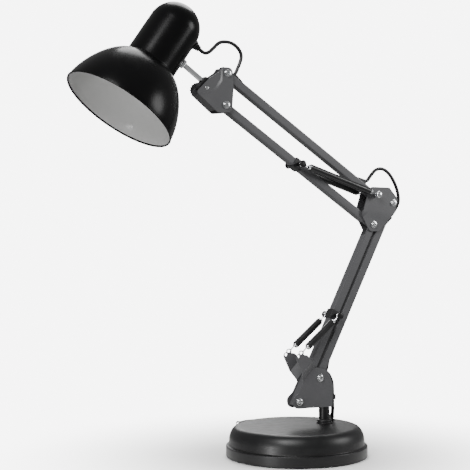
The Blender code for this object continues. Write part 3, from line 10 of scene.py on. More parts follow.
import bmesh
import bpy
from mathutils import Matrix, Vector
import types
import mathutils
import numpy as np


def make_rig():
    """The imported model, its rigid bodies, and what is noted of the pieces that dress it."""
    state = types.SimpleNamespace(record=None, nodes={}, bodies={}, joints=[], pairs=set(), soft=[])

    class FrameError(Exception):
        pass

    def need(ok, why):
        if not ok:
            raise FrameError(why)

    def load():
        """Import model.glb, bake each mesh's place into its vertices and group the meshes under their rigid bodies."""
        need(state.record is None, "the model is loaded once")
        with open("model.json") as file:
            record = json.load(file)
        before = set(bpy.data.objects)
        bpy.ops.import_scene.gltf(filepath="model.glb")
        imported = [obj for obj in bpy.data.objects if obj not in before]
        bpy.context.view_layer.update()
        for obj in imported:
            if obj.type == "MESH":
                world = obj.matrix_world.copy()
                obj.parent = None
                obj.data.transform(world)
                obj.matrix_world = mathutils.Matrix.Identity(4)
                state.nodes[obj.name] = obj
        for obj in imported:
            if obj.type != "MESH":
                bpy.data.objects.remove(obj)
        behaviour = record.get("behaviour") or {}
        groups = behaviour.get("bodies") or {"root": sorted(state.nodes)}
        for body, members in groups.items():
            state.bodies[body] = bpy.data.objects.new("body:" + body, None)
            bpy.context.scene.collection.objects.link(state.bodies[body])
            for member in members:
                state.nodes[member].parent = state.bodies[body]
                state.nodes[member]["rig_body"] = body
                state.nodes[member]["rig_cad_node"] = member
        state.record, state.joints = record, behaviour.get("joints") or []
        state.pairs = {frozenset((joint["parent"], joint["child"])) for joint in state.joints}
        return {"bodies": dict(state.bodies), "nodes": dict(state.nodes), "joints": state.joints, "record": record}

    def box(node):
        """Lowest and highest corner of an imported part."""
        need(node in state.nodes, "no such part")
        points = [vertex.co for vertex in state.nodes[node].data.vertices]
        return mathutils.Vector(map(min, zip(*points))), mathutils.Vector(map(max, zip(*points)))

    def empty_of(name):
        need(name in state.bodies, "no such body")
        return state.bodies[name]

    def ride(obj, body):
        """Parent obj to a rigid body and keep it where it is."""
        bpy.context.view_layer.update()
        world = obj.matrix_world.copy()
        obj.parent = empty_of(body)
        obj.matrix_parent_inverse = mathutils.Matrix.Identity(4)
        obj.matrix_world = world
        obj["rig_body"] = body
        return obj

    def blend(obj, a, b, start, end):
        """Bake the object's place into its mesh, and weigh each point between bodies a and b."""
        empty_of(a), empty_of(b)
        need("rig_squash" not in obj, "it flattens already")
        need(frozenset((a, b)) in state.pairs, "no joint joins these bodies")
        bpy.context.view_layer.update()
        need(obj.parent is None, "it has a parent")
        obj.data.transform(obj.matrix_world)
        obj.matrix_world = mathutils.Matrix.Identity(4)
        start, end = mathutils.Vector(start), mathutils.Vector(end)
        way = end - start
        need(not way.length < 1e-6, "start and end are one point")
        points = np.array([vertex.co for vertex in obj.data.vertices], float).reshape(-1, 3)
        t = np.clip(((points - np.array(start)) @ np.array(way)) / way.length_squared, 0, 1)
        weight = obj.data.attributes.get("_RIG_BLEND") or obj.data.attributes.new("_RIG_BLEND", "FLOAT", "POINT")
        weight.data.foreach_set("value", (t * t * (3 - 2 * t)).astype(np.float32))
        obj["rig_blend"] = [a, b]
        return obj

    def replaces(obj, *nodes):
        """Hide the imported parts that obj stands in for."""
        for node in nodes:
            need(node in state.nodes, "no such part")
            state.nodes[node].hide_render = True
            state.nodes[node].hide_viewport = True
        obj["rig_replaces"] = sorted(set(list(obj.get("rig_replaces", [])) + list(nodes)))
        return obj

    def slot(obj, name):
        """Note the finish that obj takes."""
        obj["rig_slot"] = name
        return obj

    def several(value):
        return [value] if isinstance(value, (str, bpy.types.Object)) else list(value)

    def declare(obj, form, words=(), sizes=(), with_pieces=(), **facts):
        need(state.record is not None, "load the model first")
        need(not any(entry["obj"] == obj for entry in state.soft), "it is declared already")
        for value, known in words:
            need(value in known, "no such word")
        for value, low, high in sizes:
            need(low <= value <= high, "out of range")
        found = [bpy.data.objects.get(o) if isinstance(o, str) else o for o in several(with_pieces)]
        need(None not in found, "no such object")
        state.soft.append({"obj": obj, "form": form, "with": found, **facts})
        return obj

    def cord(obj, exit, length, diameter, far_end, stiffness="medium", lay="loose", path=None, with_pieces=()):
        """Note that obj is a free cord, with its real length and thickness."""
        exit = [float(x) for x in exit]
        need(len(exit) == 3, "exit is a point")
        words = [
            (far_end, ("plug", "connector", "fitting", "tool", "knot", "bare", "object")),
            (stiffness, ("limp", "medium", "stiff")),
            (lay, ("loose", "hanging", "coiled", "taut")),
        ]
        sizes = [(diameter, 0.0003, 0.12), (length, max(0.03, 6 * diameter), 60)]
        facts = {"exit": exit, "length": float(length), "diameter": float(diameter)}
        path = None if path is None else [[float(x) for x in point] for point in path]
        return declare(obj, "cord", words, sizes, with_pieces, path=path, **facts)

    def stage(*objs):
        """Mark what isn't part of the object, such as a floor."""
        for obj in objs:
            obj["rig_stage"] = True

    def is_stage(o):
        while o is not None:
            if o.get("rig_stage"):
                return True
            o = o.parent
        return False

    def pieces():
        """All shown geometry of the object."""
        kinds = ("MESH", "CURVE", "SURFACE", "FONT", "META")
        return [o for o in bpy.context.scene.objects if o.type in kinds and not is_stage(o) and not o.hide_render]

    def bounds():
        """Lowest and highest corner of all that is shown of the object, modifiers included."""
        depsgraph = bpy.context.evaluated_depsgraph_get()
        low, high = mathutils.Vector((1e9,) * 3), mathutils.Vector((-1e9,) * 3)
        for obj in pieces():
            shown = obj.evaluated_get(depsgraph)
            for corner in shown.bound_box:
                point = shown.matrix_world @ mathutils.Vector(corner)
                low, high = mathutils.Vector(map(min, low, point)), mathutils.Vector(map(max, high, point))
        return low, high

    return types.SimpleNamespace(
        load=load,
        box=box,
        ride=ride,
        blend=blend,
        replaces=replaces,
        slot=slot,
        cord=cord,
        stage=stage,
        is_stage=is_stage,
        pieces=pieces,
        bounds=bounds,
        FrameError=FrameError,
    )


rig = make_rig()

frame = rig.load()

LOG = logging.getLogger("desk_lamp")
MM = 0.001
TUBE_HALF = 5.4  # half the width of an arm's tube, in mm
CORD_STAND_OFF = 3.2  # from a tube's face to the middle of the cord beside it, in mm
SHADE_NECK = 32.0  # the shade's radius at its neck, in mm
ROD_LEVEL = 97.0  # height of the rod above the shade's rim, in mm
ENTRY_LEVEL = 126.0  # height of the cord's way in above the shade's rim, in mm
CLIP_HEIGHT = 0.0740  # where the mains lead leaves its clip, in m
SWITCH_LEVEL = 0.0090  # height of the cord's middle through the switch, in m
PLUG_LEVEL = 0.0070  # height of the cord's middle into the plug, in m
Profile = list[tuple[float, float]]


# ---------------------------------------------------------------- finishes


class Grain(Enum):
    """The fine relief that a process leaves: wavelength in mm, depth in micrometres, noise detail, stretch."""

    SPRAYED = (3.0, 2.5, 1.0, 1.0)
    POWDER = (0.60, 8.0, 2.0, 1.0)
    MOULDED = (0.35, 7.0, 3.0, 1.0)
    EXTRUDED = (1.6, 6.0, 2.0, 1.0)
    PLATED = (1.1, 2.0, 2.0, 1.0)
    TURNED = (0.22, 2.5, 1.0, 9.0)
    CAST = (1.3, 90.0, 5.0, 1.0)
    FELTED = (0.5, 160.0, 6.0, 1.0)
    GLAZED = (5.0, 7.0, 1.0, 1.0)


def linear(code: str) -> tuple[float, float, float, float]:
    """Return the linear RGBA of an sRGB hex code."""
    parts = [int(code[i : i + 2], 16) / 255 for i in (0, 2, 4)]
    return (*(v / 12.92 if v <= 0.04045 else ((v + 0.055) / 1.055) ** 2.4 for v in parts), 1.0)


def add_node(tree: bpy.types.NodeTree, kind: str, settings: dict | None = None,
             links: dict | None = None) -> bpy.types.Node:
    """Add one shader node with its settings and incoming links.

    Args:
        tree: the node tree that gets it.
        kind: the node's type, without its ShaderNode prefix.
        settings: attributes of the node, or values of its input sockets.
        links: output sockets by the name or number of the input that each one feeds.

    Returns:
        The new node.
    """
    node = tree.nodes.new(f"ShaderNode{kind}")
    for key, value in (settings or {}).items():
        if isinstance(key, str) and hasattr(node, key):
            setattr(node, key, value)
        else:
            node.inputs[key].default_value = value
    for key, socket in (links or {}).items():
        tree.links.new(socket, node.inputs[key])
    return node


@dataclass(frozen=True)
class Finish:
    """A surface finish: its two close colours, its gloss, and the relief of its process."""

    name: str
    colour: str
    second: str
    roughness: float
    wander: float
    grain: Grain
    metallic: float = 0.0
    coat: float = 0.0
    sheen: float = 0.0
    specular: float = 0.5

    def material(self) -> bpy.types.Material:
        """Return this finish's material, which is built once."""
        ready = bpy.data.materials.get(self.name)
        if ready:
            return ready
        material = bpy.data.materials.new(self.name)
        material.use_nodes = True
        tree = material.node_tree
        tree.nodes.clear()
        size, depth, detail, stretch = self.grain.value
        place = add_node(tree, "TexCoord").outputs["Object"]
        per_mm = 1 / (size * MM)
        fine = add_node(tree, "Mapping", {"Scale": (per_mm, per_mm, per_mm / stretch)}, {"Vector": place})
        relief = add_node(tree, "TexNoise", {"Scale": 1.0, "Detail": detail, "Roughness": 0.55},
                          {"Vector": fine.outputs[0]})
        bump = add_node(tree, "Bump", {"Strength": 1.0, "Distance": depth * 1e-6},
                        {"Height": relief.outputs[0]})
        wide = add_node(tree, "TexNoise", {"Scale": 22.0, "Detail": 5.0, "Roughness": 0.6}, {"Vector": place})
        tone = add_node(tree, "Mix", {"data_type": "RGBA", 6: linear(self.colour), 7: linear(self.second)},
                        {0: wide.outputs[0]})
        smears = add_node(tree, "TexNoise", {"Scale": 90.0, "Detail": 4.0, "Distortion": 0.6},
                          {"Vector": place})
        low, high = self.roughness - self.wander, self.roughness + self.wander
        gloss = add_node(tree, "MapRange", {"From Min": 0.3, "From Max": 0.7, "To Min": max(low, 0.02),
                                            "To Max": high},
                         {"Value": smears.outputs[0]})
        skin = add_node(tree, "BsdfPrincipled", {"Metallic": self.metallic, "Coat Weight": self.coat,
                                                 "Coat Roughness": 0.06,
                                                 "Sheen Weight": self.sheen, "Specular IOR Level": self.specular},
                        {"Base Color": tone.outputs[2], "Roughness": gloss.outputs[0],
                         "Normal": bump.outputs[0]})
        add_node(tree, "OutputMaterial", None, {"Surface": skin.outputs[0]})
        return material


# Black stoving enamel, sprayed: mirror-like but gently rippled, so highlights are soft at the edge.
ENAMEL_BLACK = Finish("black_stoving_enamel_sprayed", "070708", "090909", 0.24, 0.03, Grain.SPRAYED,
                      specular=0.14)
# Pale grey reflector enamel, sprayed: even and bright inside the bell, with a soft sheen.
ENAMEL_PALE = Finish("pale_grey_reflector_enamel_sprayed", "C4C4C3", "CBCBCA", 0.16, 0.04, Grain.SPRAYED)
# Black enamel on the base: satin, with the same fine ripple.
ENAMEL_SATIN = Finish("black_satin_enamel_sprayed", "0F0F10", "131314", 0.38, 0.04, Grain.SPRAYED,
                      specular=0.35)
# Dark grey powder coat, baked: matt pin-point texture on tubes and pressings.
POWDER_GREY = Finish("dark_grey_powder_coat_baked", "454547", "4E4E50", 0.40, 0.05, Grain.POWDER)
# Zinc, electroplated: bright bluish steel with a faint cloud.
ZINC = Finish("zinc_electroplated_steel", "E2E3E3", "D2D4D6", 0.16, 0.05, Grain.PLATED, metallic=1.0)
# Chrome, polished: clean dark-to-bright reflections.
CHROME = Finish("chrome_polished_plated_steel", "F0F1F2", "E8EAEC", 0.06, 0.03, Grain.PLATED, metallic=1.0)
# Brass, drawn and rolled into a screw shell: warm rings of light down the thread.
BRASS = Finish("brass_rolled_thread", "C9A765", "B8934F", 0.25, 0.06, Grain.TURNED, metallic=1.0)
# Spring steel, oiled and wound: dark straw-grey wire.
SPRING_STEEL = Finish("spring_steel_nickel_plated_wire", "E4E5E6", "D4D6D8", 0.14, 0.05, Grain.PLATED,
                      metallic=1.0)
# Grey iron, sand cast: rough, dull and slightly brown.
IRON = Finish("grey_iron_sand_cast", "3B3936", "4A4641", 0.68, 0.08, Grain.CAST, metallic=0.8)
# EVA foam, cut from sheet: open cells and no shine.
FOAM = Finish("black_eva_foam_cut", "141414", "1E1E1E", 0.92, 0.04, Grain.FELTED, sheen=0.2)
# Black nylon, injection moulded: fine spark texture with a dull sheen.
NYLON = Finish("black_nylon_moulded", "121213", "18181A", 0.44, 0.06, Grain.MOULDED)
# Black PVC, extruded over the cores: smooth, slightly waxy.
PVC = Finish("black_pvc_extruded_sheath", "0F0F10", "151516", 0.38, 0.06, Grain.EXTRUDED)
# Black PVC sleeve, shrunk on the springs: smoother and greyer than the cord.
SLEEVE = Finish("black_pvc_shrunk_sleeve", "131314", "1B1B1C", 0.33, 0.06, Grain.EXTRUDED)
# White steatite, pressed and glazed: milky with broad reflections.
STEATITE = Finish("white_steatite_glazed", "DEDCD4", "E6E4DD", 0.22, 0.04, Grain.GLAZED, coat=0.3)


# ---------------------------------------------------------------- shapes


@dataclass(frozen=True)
class Relief:
    """Flutes or a thread round a turned piece: how many round it, the rise per turn, the depth, and where."""

    around: int
    pitch: float
    depth: float
    low: float
    high: float
    inner: float = 0.0

    def shift(self, radius: float, height: float, angle: float) -> float:
        """Return how far a point moves outward."""
        if not (self.low <= height <= self.high and radius > self.inner):
            return 0.0
        turns = height / self.pitch if self.pitch else 0.0
        return self.depth * math.cos(self.around * angle - 2 * math.pi * turns)


def facing(origin: Vector, way: Vector, up: Vector | None = None) -> Matrix:
    """Return the place whose Z axis points along way, with its Y axis near up where that is given."""
    z = way.normalized()
    if up is None:
        return Matrix.Translation(origin) @ z.to_track_quat("Z", "Y").to_matrix().to_4x4()
    x = up.cross(z).normalized()
    return Matrix.Translation(origin) @ Matrix((x, z.cross(x), z)).transposed().to_4x4()


def ladder(radius: float, low: float, high: float, step: float) -> Profile:
    """Return evenly spaced profile points along a cylinder, for a thread."""
    count = max(1, round(abs(high - low) / step))
    return [(radius, low + (high - low) * k / count) for k in range(count + 1)]


def eased(corners: Sequence[tuple[float, float, float]], steps: int = 5) -> Profile:
    """Round the corners of an open profile.

    Args:
        corners: radius, height and rounding of each corner; the ends stay sharp.
        steps: points in each rounding.

    Returns:
        The profile's points.
    """
    points: Profile = []
    for k, (r, h, soft) in enumerate(corners):
        here = Vector((r, h))
        if soft <= 0 or k in (0, len(corners) - 1):
            points.append((r, h))
            continue
        before = Vector(corners[k - 1][:2]) - here
        after = Vector(corners[k + 1][:2]) - here
        reach = min(soft, before.length * 0.49, after.length * 0.49)
        start, end = here + before.normalized() * reach, here + after.normalized() * reach
        for i in range(steps + 1):
            t = i / steps
            points.append(tuple(start * (1 - t) ** 2 + here * (2 * t * (1 - t)) + end * t * t))
    return points


def to_mesh(bm: bmesh.types.BMesh, name: str) -> bpy.types.Mesh:
    """Turn a bmesh into a mesh with outward normals."""
    bmesh.ops.recalc_face_normals(bm, faces=bm.faces)
    mesh = bpy.data.meshes.new(name)
    bm.to_mesh(mesh)
    bm.free()
    return mesh


def turned(name: str, profile: Profile, place: Matrix, steps: int = 64, closed: bool = False,
           reliefs: Sequence[Relief] = ()) -> bpy.types.Mesh:
    """Turn a profile round the Z axis of a place.

    Args:
        name: the mesh's name.
        profile: radius and height of each point.
        place: where its axis lies.
        steps: faces round it.
        closed: whether the last point joins the first.
        reliefs: flutes and threads.

    Returns:
        The mesh, in the row frame.
    """
    bm = bmesh.new()
    verts = [bm.verts.new((r, 0.0, h)) for r, h in profile]
    edges = [bm.edges.new(pair) for pair in zip(verts, verts[1:])]
    if closed:
        edges.append(bm.edges.new((verts[-1], verts[0])))
    bmesh.ops.spin(bm, geom=verts + edges, cent=(0, 0, 0), axis=(0, 0, 1), dvec=(0, 0, 0), angle=2 * math.pi,
                   steps=steps, use_merge=True)
    bmesh.ops.remove_doubles(bm, verts=bm.verts, dist=1e-6)
    for vert in bm.verts if reliefs else ():
        radius, angle = math.hypot(vert.co.x, vert.co.y), math.atan2(vert.co.y, vert.co.x)
        out = sum(relief.shift(radius, vert.co.z, angle) for relief in reliefs)
        if radius > 1e-6:
            vert.co.xy *= 1 + out / radius
    bm.transform(place)
    return to_mesh(bm, name)


def swept(name: str, route: Sequence[Vector], radius: float, sides: int = 16) -> bpy.types.Mesh:
    """Sweep a round section along a route, with its ends closed."""
    curve = bpy.data.curves.new(name, "CURVE")
    curve.dimensions = "3D"
    curve.bevel_depth = radius
    curve.bevel_resolution = max(0, sides // 4 - 1)
    curve.use_fill_caps = True
    spline = curve.splines.new("POLY")
    spline.points.add(len(route) - 1)
    for point, place in zip(spline.points, route):
        point.co = (*place, 1.0)
    holder = bpy.data.objects.new(name, curve)
    mesh = bpy.data.meshes.new_from_object(holder)
    bpy.data.objects.remove(holder)
    bpy.data.curves.remove(curve)
    bm = bmesh.new()
    bm.from_mesh(mesh)
    bpy.data.meshes.remove(mesh)
    bmesh.ops.remove_doubles(bm, verts=bm.verts, dist=1e-6)
    return to_mesh(bm, name)


def smoothed(points: Iterable[Vector], spacing: float = 1.5 * MM) -> list[Vector]:
    """Return a Catmull-Rom route through points, with its first and last stretches straight."""
    route = [Vector(p) for p in points]
    fine = [route[0]]
    for p0, p1, p2, p3 in zip(route, route[1:], route[2:], route[3:]):
        count = max(1, round((p2 - p1).length / spacing))
        for k in range(count):
            t = k / count
            fine.append(0.5 * (2 * p1 + (p2 - p0) * t + (2 * p0 - 5 * p1 + 4 * p2 - p3) * t * t
                               + (3 * p1 - p0 - 3 * p2 + p3) * t ** 3))
    return fine + [route[-2], route[-1]]


def joined(name: str, meshes: Sequence[bpy.types.Mesh]) -> bpy.types.Mesh:
    """Join meshes into one and remove the separate ones."""
    bm = bmesh.new()
    for mesh in meshes:
        bm.from_mesh(mesh)
        bpy.data.meshes.remove(mesh)
    return to_mesh(bm, name)


def cut(body: bpy.types.Mesh, cutter: bpy.types.Mesh) -> bpy.types.Mesh:
    """Cut one mesh out of another and return the result."""
    holders = [bpy.data.objects.new(mesh.name, mesh) for mesh in (body, cutter)]
    for holder in holders:
        bpy.context.scene.collection.objects.link(holder)
    modifier = holders[0].modifiers.new("cut", "BOOLEAN")
    modifier.operation = "DIFFERENCE"
    modifier.solver = "EXACT"
    modifier.use_self = True
    modifier.object = holders[1]
    graph = bpy.context.evaluated_depsgraph_get()
    result = bpy.data.meshes.new_from_object(holders[0].evaluated_get(graph))
    result.name = body.name
    for holder in holders:
        bpy.data.objects.remove(holder)
    return result


def refined(node: str, soft: float = 0.3, segments: int = 2, angle: float = 28.0,
            shape: Callable[[bmesh.types.BMesh], None] | None = None) -> bpy.types.Mesh:
    """Return a copy of a CAD node's mesh with clean faces and softened edges.

    Args:
        node: the CAD node's name.
        soft: the width of the softened edges, in mm.
        segments: steps across each softened edge.
        angle: the least angle of an edge that is softened, in degrees.
        shape: an extra step on the clean mesh, before its edges are softened.

    Returns:
        The mesh, in the row frame.
    """
    source = frame["nodes"][node]
    bm = bmesh.new()
    bm.from_mesh(source.data)
    bm.transform(source.matrix_world)
    bmesh.ops.remove_doubles(bm, verts=bm.verts, dist=3e-6)
    bmesh.ops.dissolve_limit(bm, angle_limit=math.radians(1.0), verts=bm.verts, edges=bm.edges, delimit=set())
    if shape:
        shape(bm)
    if soft > 0:
        least = math.radians(angle)
        edges = [e for e in bm.edges if len(e.link_faces) == 2 and e.calc_face_angle(0.0) > least]
        bmesh.ops.bevel(bm, geom=edges, offset=soft * MM, offset_type="OFFSET", segments=segments,
                        profile=0.5,
                        affect="EDGES", clamp_overlap=True, material=-1)
    return to_mesh(bm, f"{node}_fine")


def finished(name: str, mesh: bpy.types.Mesh, finishes: Finish | Sequence[Finish], slot: str,
             nodes: Sequence[str] = (),
             body: str = "", sharp: float = 35.0) -> bpy.types.Object:
    """Make a finished piece of a mesh that lies in the row frame.

    Args:
        name: the piece's name.
        mesh: its geometry.
        finishes: its finish, or one for each material number of its faces.
        slot: the record's material slot that it stands for.
        nodes: the CAD nodes that it stands for.
        body: the CAD body that it rides on; left out for a piece that bends between two.
        sharp: edges with more than this angle, in degrees, stay sharp.

    Returns:
        The piece.
    """
    obj = bpy.data.objects.new(name, mesh)
    bpy.context.scene.collection.objects.link(obj)
    numbers = [face.material_index for face in mesh.polygons]
    mesh.materials.clear()
    for finish in [finishes] if isinstance(finishes, Finish) else finishes:
        mesh.materials.append(finish.material())
    mesh.polygons.foreach_set("material_index", [min(number, len(mesh.materials) - 1) for number in numbers])
    mesh.shade_smooth()
    mesh.set_sharp_from_angle(angle=math.radians(sharp))
    weights = obj.modifiers.new("even_shading", "WEIGHTED_NORMAL")
    weights.keep_sharp = True
    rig.slot(obj, slot)
    if nodes:
        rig.replaces(obj, *nodes)
    if body:
        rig.ride(obj, body)
    return obj


def middle(node: str) -> Vector:
    """Return the centre of a CAD node's box."""
    low, high = (Vector(corner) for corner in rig.box(node))
    return (low + high) / 2


def size(node: str) -> Vector:
    """Return the size of a CAD node's box."""
    low, high = (Vector(corner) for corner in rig.box(node))
    return high - low


def joint(name: str) -> dict:
    """Return a joint of the CAD record."""
    return next(j for j in frame["joints"] if j["name"] == name)


# ---------------------------------------------------------------- picture


@dataclass
class Studio:
    """A pale floor, soft lamps on stands, and the camera."""

    eye: Vector = field(default_factory=lambda: Vector((-0.793, -1.253, 0.2757)))
    turn: tuple[float, float, float] = (90.22, 0.26, -29.34)
    lens: float = 88.9
    floor_radius: float = 1.9
    lamps: tuple[tuple[str, tuple[float, float, float], float, float], ...] = (
        ("key_softbox", (-1.35, -1.10, 1.55), 1.10, 42.0),
        ("top_softbox", (0.55, 0.75, 1.70), 1.10, 22.0),
        ("fill_softbox", (1.35, -1.00, 0.75), 0.80, 14.0),
        ("rear_softbox", (0.60, 1.55, 0.90), 0.90, 8.0),
        ("low_softbox", (-1.45, -0.45, 0.05), 0.35, 9.0),
    )

    def place_camera(self) -> None:
        """Put the camera at the lamp's left front, level with its elbow."""
        data = bpy.data.cameras.new("camera")
        data.lens = self.lens
        data.sensor_width = 36.0
        camera = bpy.data.objects.new("camera", data)
        camera.location = self.eye
        camera.rotation_euler = [math.radians(a) for a in self.turn]
        bpy.context.scene.collection.objects.link(camera)
        bpy.context.scene.camera = camera

    def build(self) -> None:
        """Build the floor, the lamps and the surrounding light."""
        mesh = turned("floor", [(0.0, -0.0002), (self.floor_radius, -0.0002)], Matrix.Identity(4), 96)
        floor = bpy.data.objects.new("floor", mesh)
        bpy.context.scene.collection.objects.link(floor)
        mesh.materials.append(self.floor_material())
        if mesh.polygons[0].normal.z < 0:
            mesh.flip_normals()
        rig.stage(floor)
        target = Vector((-0.03, 0.0, 0.25))
        for name, place, width, power in self.lamps:
            data = bpy.data.lights.new(name, "AREA")
            data.shape = "DISK"
            data.size = width
            data.energy = power
            lamp = bpy.data.objects.new(name, data)
            lamp.visible_camera = False
            lamp.location = place
            lamp.rotation_euler = (target - Vector(place)).to_track_quat("-Z", "Y").to_euler()
            bpy.context.scene.collection.objects.link(lamp)
        world = bpy.data.worlds.new("studio_air")
        bpy.context.scene.world = world
        world.use_nodes = True
        tree = world.node_tree
        tree.nodes.clear()
        seen = add_node(tree, "LightPath").outputs["Is Camera Ray"]
        glow = add_node(tree, "Background", {"Color": linear("FFFFFF"), "Strength": 0.30})
        wall = add_node(tree, "Background", {"Color": linear("FFFFFF"), "Strength": 7.0})
        mix = add_node(tree, "MixShader", None, {0: seen, 1: glow.outputs[0], 2: wall.outputs[0]})
        add_node(tree, "OutputWorld", None, {"Surface": mix.outputs[0]})

    def floor_material(self) -> bpy.types.Material:
        """Return white paper that fades into the background at its edge."""
        material = bpy.data.materials.new("white_seamless_paper")
        material.use_nodes = True
        tree = material.node_tree
        tree.nodes.clear()
        place = add_node(tree, "TexCoord").outputs["Object"]
        far = add_node(tree, "VectorMath", {"operation": "LENGTH"}, {0: place})
        fade = add_node(tree, "MapRange", {"interpolation_type": "SMOOTHSTEP", "From Min": 0.06,
                                           "From Max": 0.42}, {"Value": far.outputs["Value"]})
        paper = add_node(tree, "BsdfDiffuse", {"Color": linear("F7F7F6")})
        clear = add_node(tree, "BsdfTransparent")
        mix = add_node(tree, "MixShader", None, {0: fade.outputs[0], 1: paper.outputs[0],
                                                 2: clear.outputs[0]})
        add_node(tree, "OutputMaterial", None, {"Surface": mix.outputs[0]})
        return material


# ---------------------------------------------------------------- cords


@dataclass
class Cords:
    """The cord where the arms show it, and the mains lead wound into a coil, with its switch and plug."""

    radius: float = 2.3 * MM
    back_way: Vector = field(default_factory=lambda: Vector((0.4900, 0.8717, 0.0)))
    base_height: float = 38.3 * MM
    drum_radius: float = 86.0 * MM
    coil_across: float = -43.0 * MM
    switch_across: float = 16.0 * MM
    rise: float = 1.02
    tail_bend: float = 4.4

    def __post_init__(self) -> None:
        """Work out the sizes that follow from the cord's thickness and the CAD pieces' places."""
        self.thick = 2 * self.radius
        self.coil_radius = 5.25 * self.thick
        self.coil_back = middle("cord_coil").dot(self.back_way)
        self.switch_back = self.coil_back + self.coil_radius + 1.3 * self.thick
        self.drop = 55.5 * MM

    def behind(self, across: float, back: float, height: float) -> Vector:
        """Return a point behind the base, from its distance across, back and up."""
        return Vector((self.back_way.y, -self.back_way.x, 0)) * across + self.back_way * back + Vector((0, 0,
                                                                                                        height))

    def lead_points(self) -> list[Vector]:
        """Return the lead's route from its clip, over the base's back edge and along the floor."""
        at, x = self.behind, self.drop
        ride = self.base_height + self.radius + 0.6 * MM
        over = math.sqrt(self.drum_radius ** 2 - (50 * MM) ** 2)
        arrive = self.coil_back - self.coil_radius - self.thick
        rest = self.radius + 0.1 * MM
        return [Vector((x, 0, CLIP_HEIGHT)), Vector((x, 0, 0.0650)), Vector((x + 0.0015, 0.0020, 0.0560)),
                Vector((x + 0.0040, 0.0065, ride + 0.0060)), Vector((x + 0.0090, 0.0150, ride + 0.0008)),
                at(0.0505, over - 0.0190, ride), at(0.0505, over - 0.0080, ride), at(0.0500, over + 0.0010,
                                                                                     ride - 0.0010),
                at(0.0485, over + 0.0085, 0.0345), at(0.0450, over + 0.0155, 0.0225), at(0.0400,
                                                                                         over + 0.0225, 0.0115),
                at(0.0325, over + 0.0290, 0.0048), at(0.0215, over + 0.0345, rest), at(0.0050,
                                                                                       arrive - 0.0020, rest),
                at(-0.0130, arrive - 0.0003, rest), at(self.coil_across + 0.0240, arrive, rest)]

    def winding(self) -> list[Vector]:
        """Return the coil's turns: four layers, in, out, in and out, each two turns wide."""
        inner, outer = self.coil_radius - self.thick, self.coil_radius + self.thick
        first = self.radius + 1.2 * MM
        stages = [(2.0, outer, inner, 0, 0), (0.4, inner, inner, 0, -1), (2.0, inner, outer, 1, 0),
                  (0.4, outer, outer, 1, 1),
                  (2.0, outer, inner, 2, 0), (0.4, inner, inner, 2, -1), (2.3, inner,
                                                                          outer + 0.3 * self.thick, 3, 0)]
        route, gone = [], 0.0
        for turns, start, end, layer, push in stages:
            count = round(turns * 72)
            for k in range(count):
                t = k / count
                climb = layer + (t * t * (3 - 2 * t) if push else 0.0)
                r = start + (end - start) * t + push * 0.1 * self.thick * math.sin(math.pi * t)
                angle = -math.pi / 2 - 2 * math.pi * (gone + turns * t)
                height = first + climb * self.rise * self.thick
                if gone == 0.0 and t < 0.1:
                    height -= 1.1 * MM * (1 - t / 0.1) ** 2
                route.append(self.behind(self.coil_across + r * math.cos(angle),
                                         self.coil_back + r * math.sin(angle), height))
            gone += turns
        return route

    def tail_points(self) -> list[Vector]:
        """Return the route from the coil through the switch to the plug."""
        at, back = self.behind, self.switch_back
        top = self.radius + 1.2 * MM + 3 * self.rise * self.thick
        start = self.coil_across
        bend = self.tail_bend * self.thick
        switch = self.switch_across
        across = switch + 0.0280 + 0.0050 + bend
        points = [at(start - 0.0060, back - 0.0007, top), at(start, back, top - 0.0002), at(start + 0.0060,
                                                                                            back, top - 0.0012),
                  at(start + 0.0120, back, 0.0144), at(start + 0.0180, back, 0.0117), at(start + 0.0240,
                                                                                         back, 0.0097),
                  at(start + 0.0310, back, SWITCH_LEVEL), at(switch - 0.0150, back, SWITCH_LEVEL), at(switch,
                                                                                                      back, SWITCH_LEVEL),
                  at(switch + 0.0250, back, SWITCH_LEVEL), at(switch + 0.0313, back, SWITCH_LEVEL)]
        for angle, sink in ((75, 1.5), (55, 3.0), (35, 3.5), (15, 3.0)):
            a = math.radians(angle)
            points.append(at(across - bend + bend * math.cos(a), back - bend + bend * math.sin(a),
                             SWITCH_LEVEL - sink * MM))
        end = back - bend - 0.0015
        return points + [at(across, end + 0.0015, PLUG_LEVEL), at(across, end - 0.0060, PLUG_LEVEL)]

    def mains(self) -> list[Vector]:
        """Return the whole centreline of the mains lead."""
        lead = smoothed(self.lead_points(), 2.0 * MM)[:-1]
        tail = smoothed(self.tail_points(), 2.0 * MM)
        skip = min(range(len(tail)), key=lambda k: (tail[k] - self.tail_points()[1]).length)
        return lead + self.winding() + tail[skip:]

    def mouth(self, pivot: str, towards: str, side: int, reach: float, angle: float) -> tuple[Vector, Vector]:
        """Return where a cord guide's mouth is and which way the cord leaves it.

        Args:
            pivot: the bolt at that end of the tube.
            towards: the bolt at the tube's other end.
            side: which side of the tube it is on.
            reach: its distance from the pivot along the tube, in mm.
            angle: the cord's angle from the tube, in degrees.
        """
        start, end = (Vector((middle(n).x, 0, middle(n).z)) for n in (pivot, towards))
        along = (end - start).normalized()
        out = Vector((along.z, 0, -along.x)) * side
        way = out * math.sin(math.radians(angle)) - along * math.cos(math.radians(angle))
        return start + along * reach * MM + out * (TUBE_HALF + CORD_STAND_OFF) * MM, way

    def loop(self, start: tuple[Vector, Vector], end: tuple[Vector, Vector], offsets: Sequence[tuple[float,
                                                                                                     float]],
             corner: Vector) -> list[Vector]:
        """Return a loop's route out of one mouth, past offsets from a corner, and into another."""
        lead = 0.9 * self.thick
        points = [start[0] - start[1] * 2 * MM, start[0] + start[1] * lead]
        points += [Vector((corner.x + x * MM, 0, corner.z + z * MM)) for x, z in offsets]
        return smoothed(points + [end[0] + end[1] * lead, end[0] - end[1] * 2 * MM], 1.5 * MM)

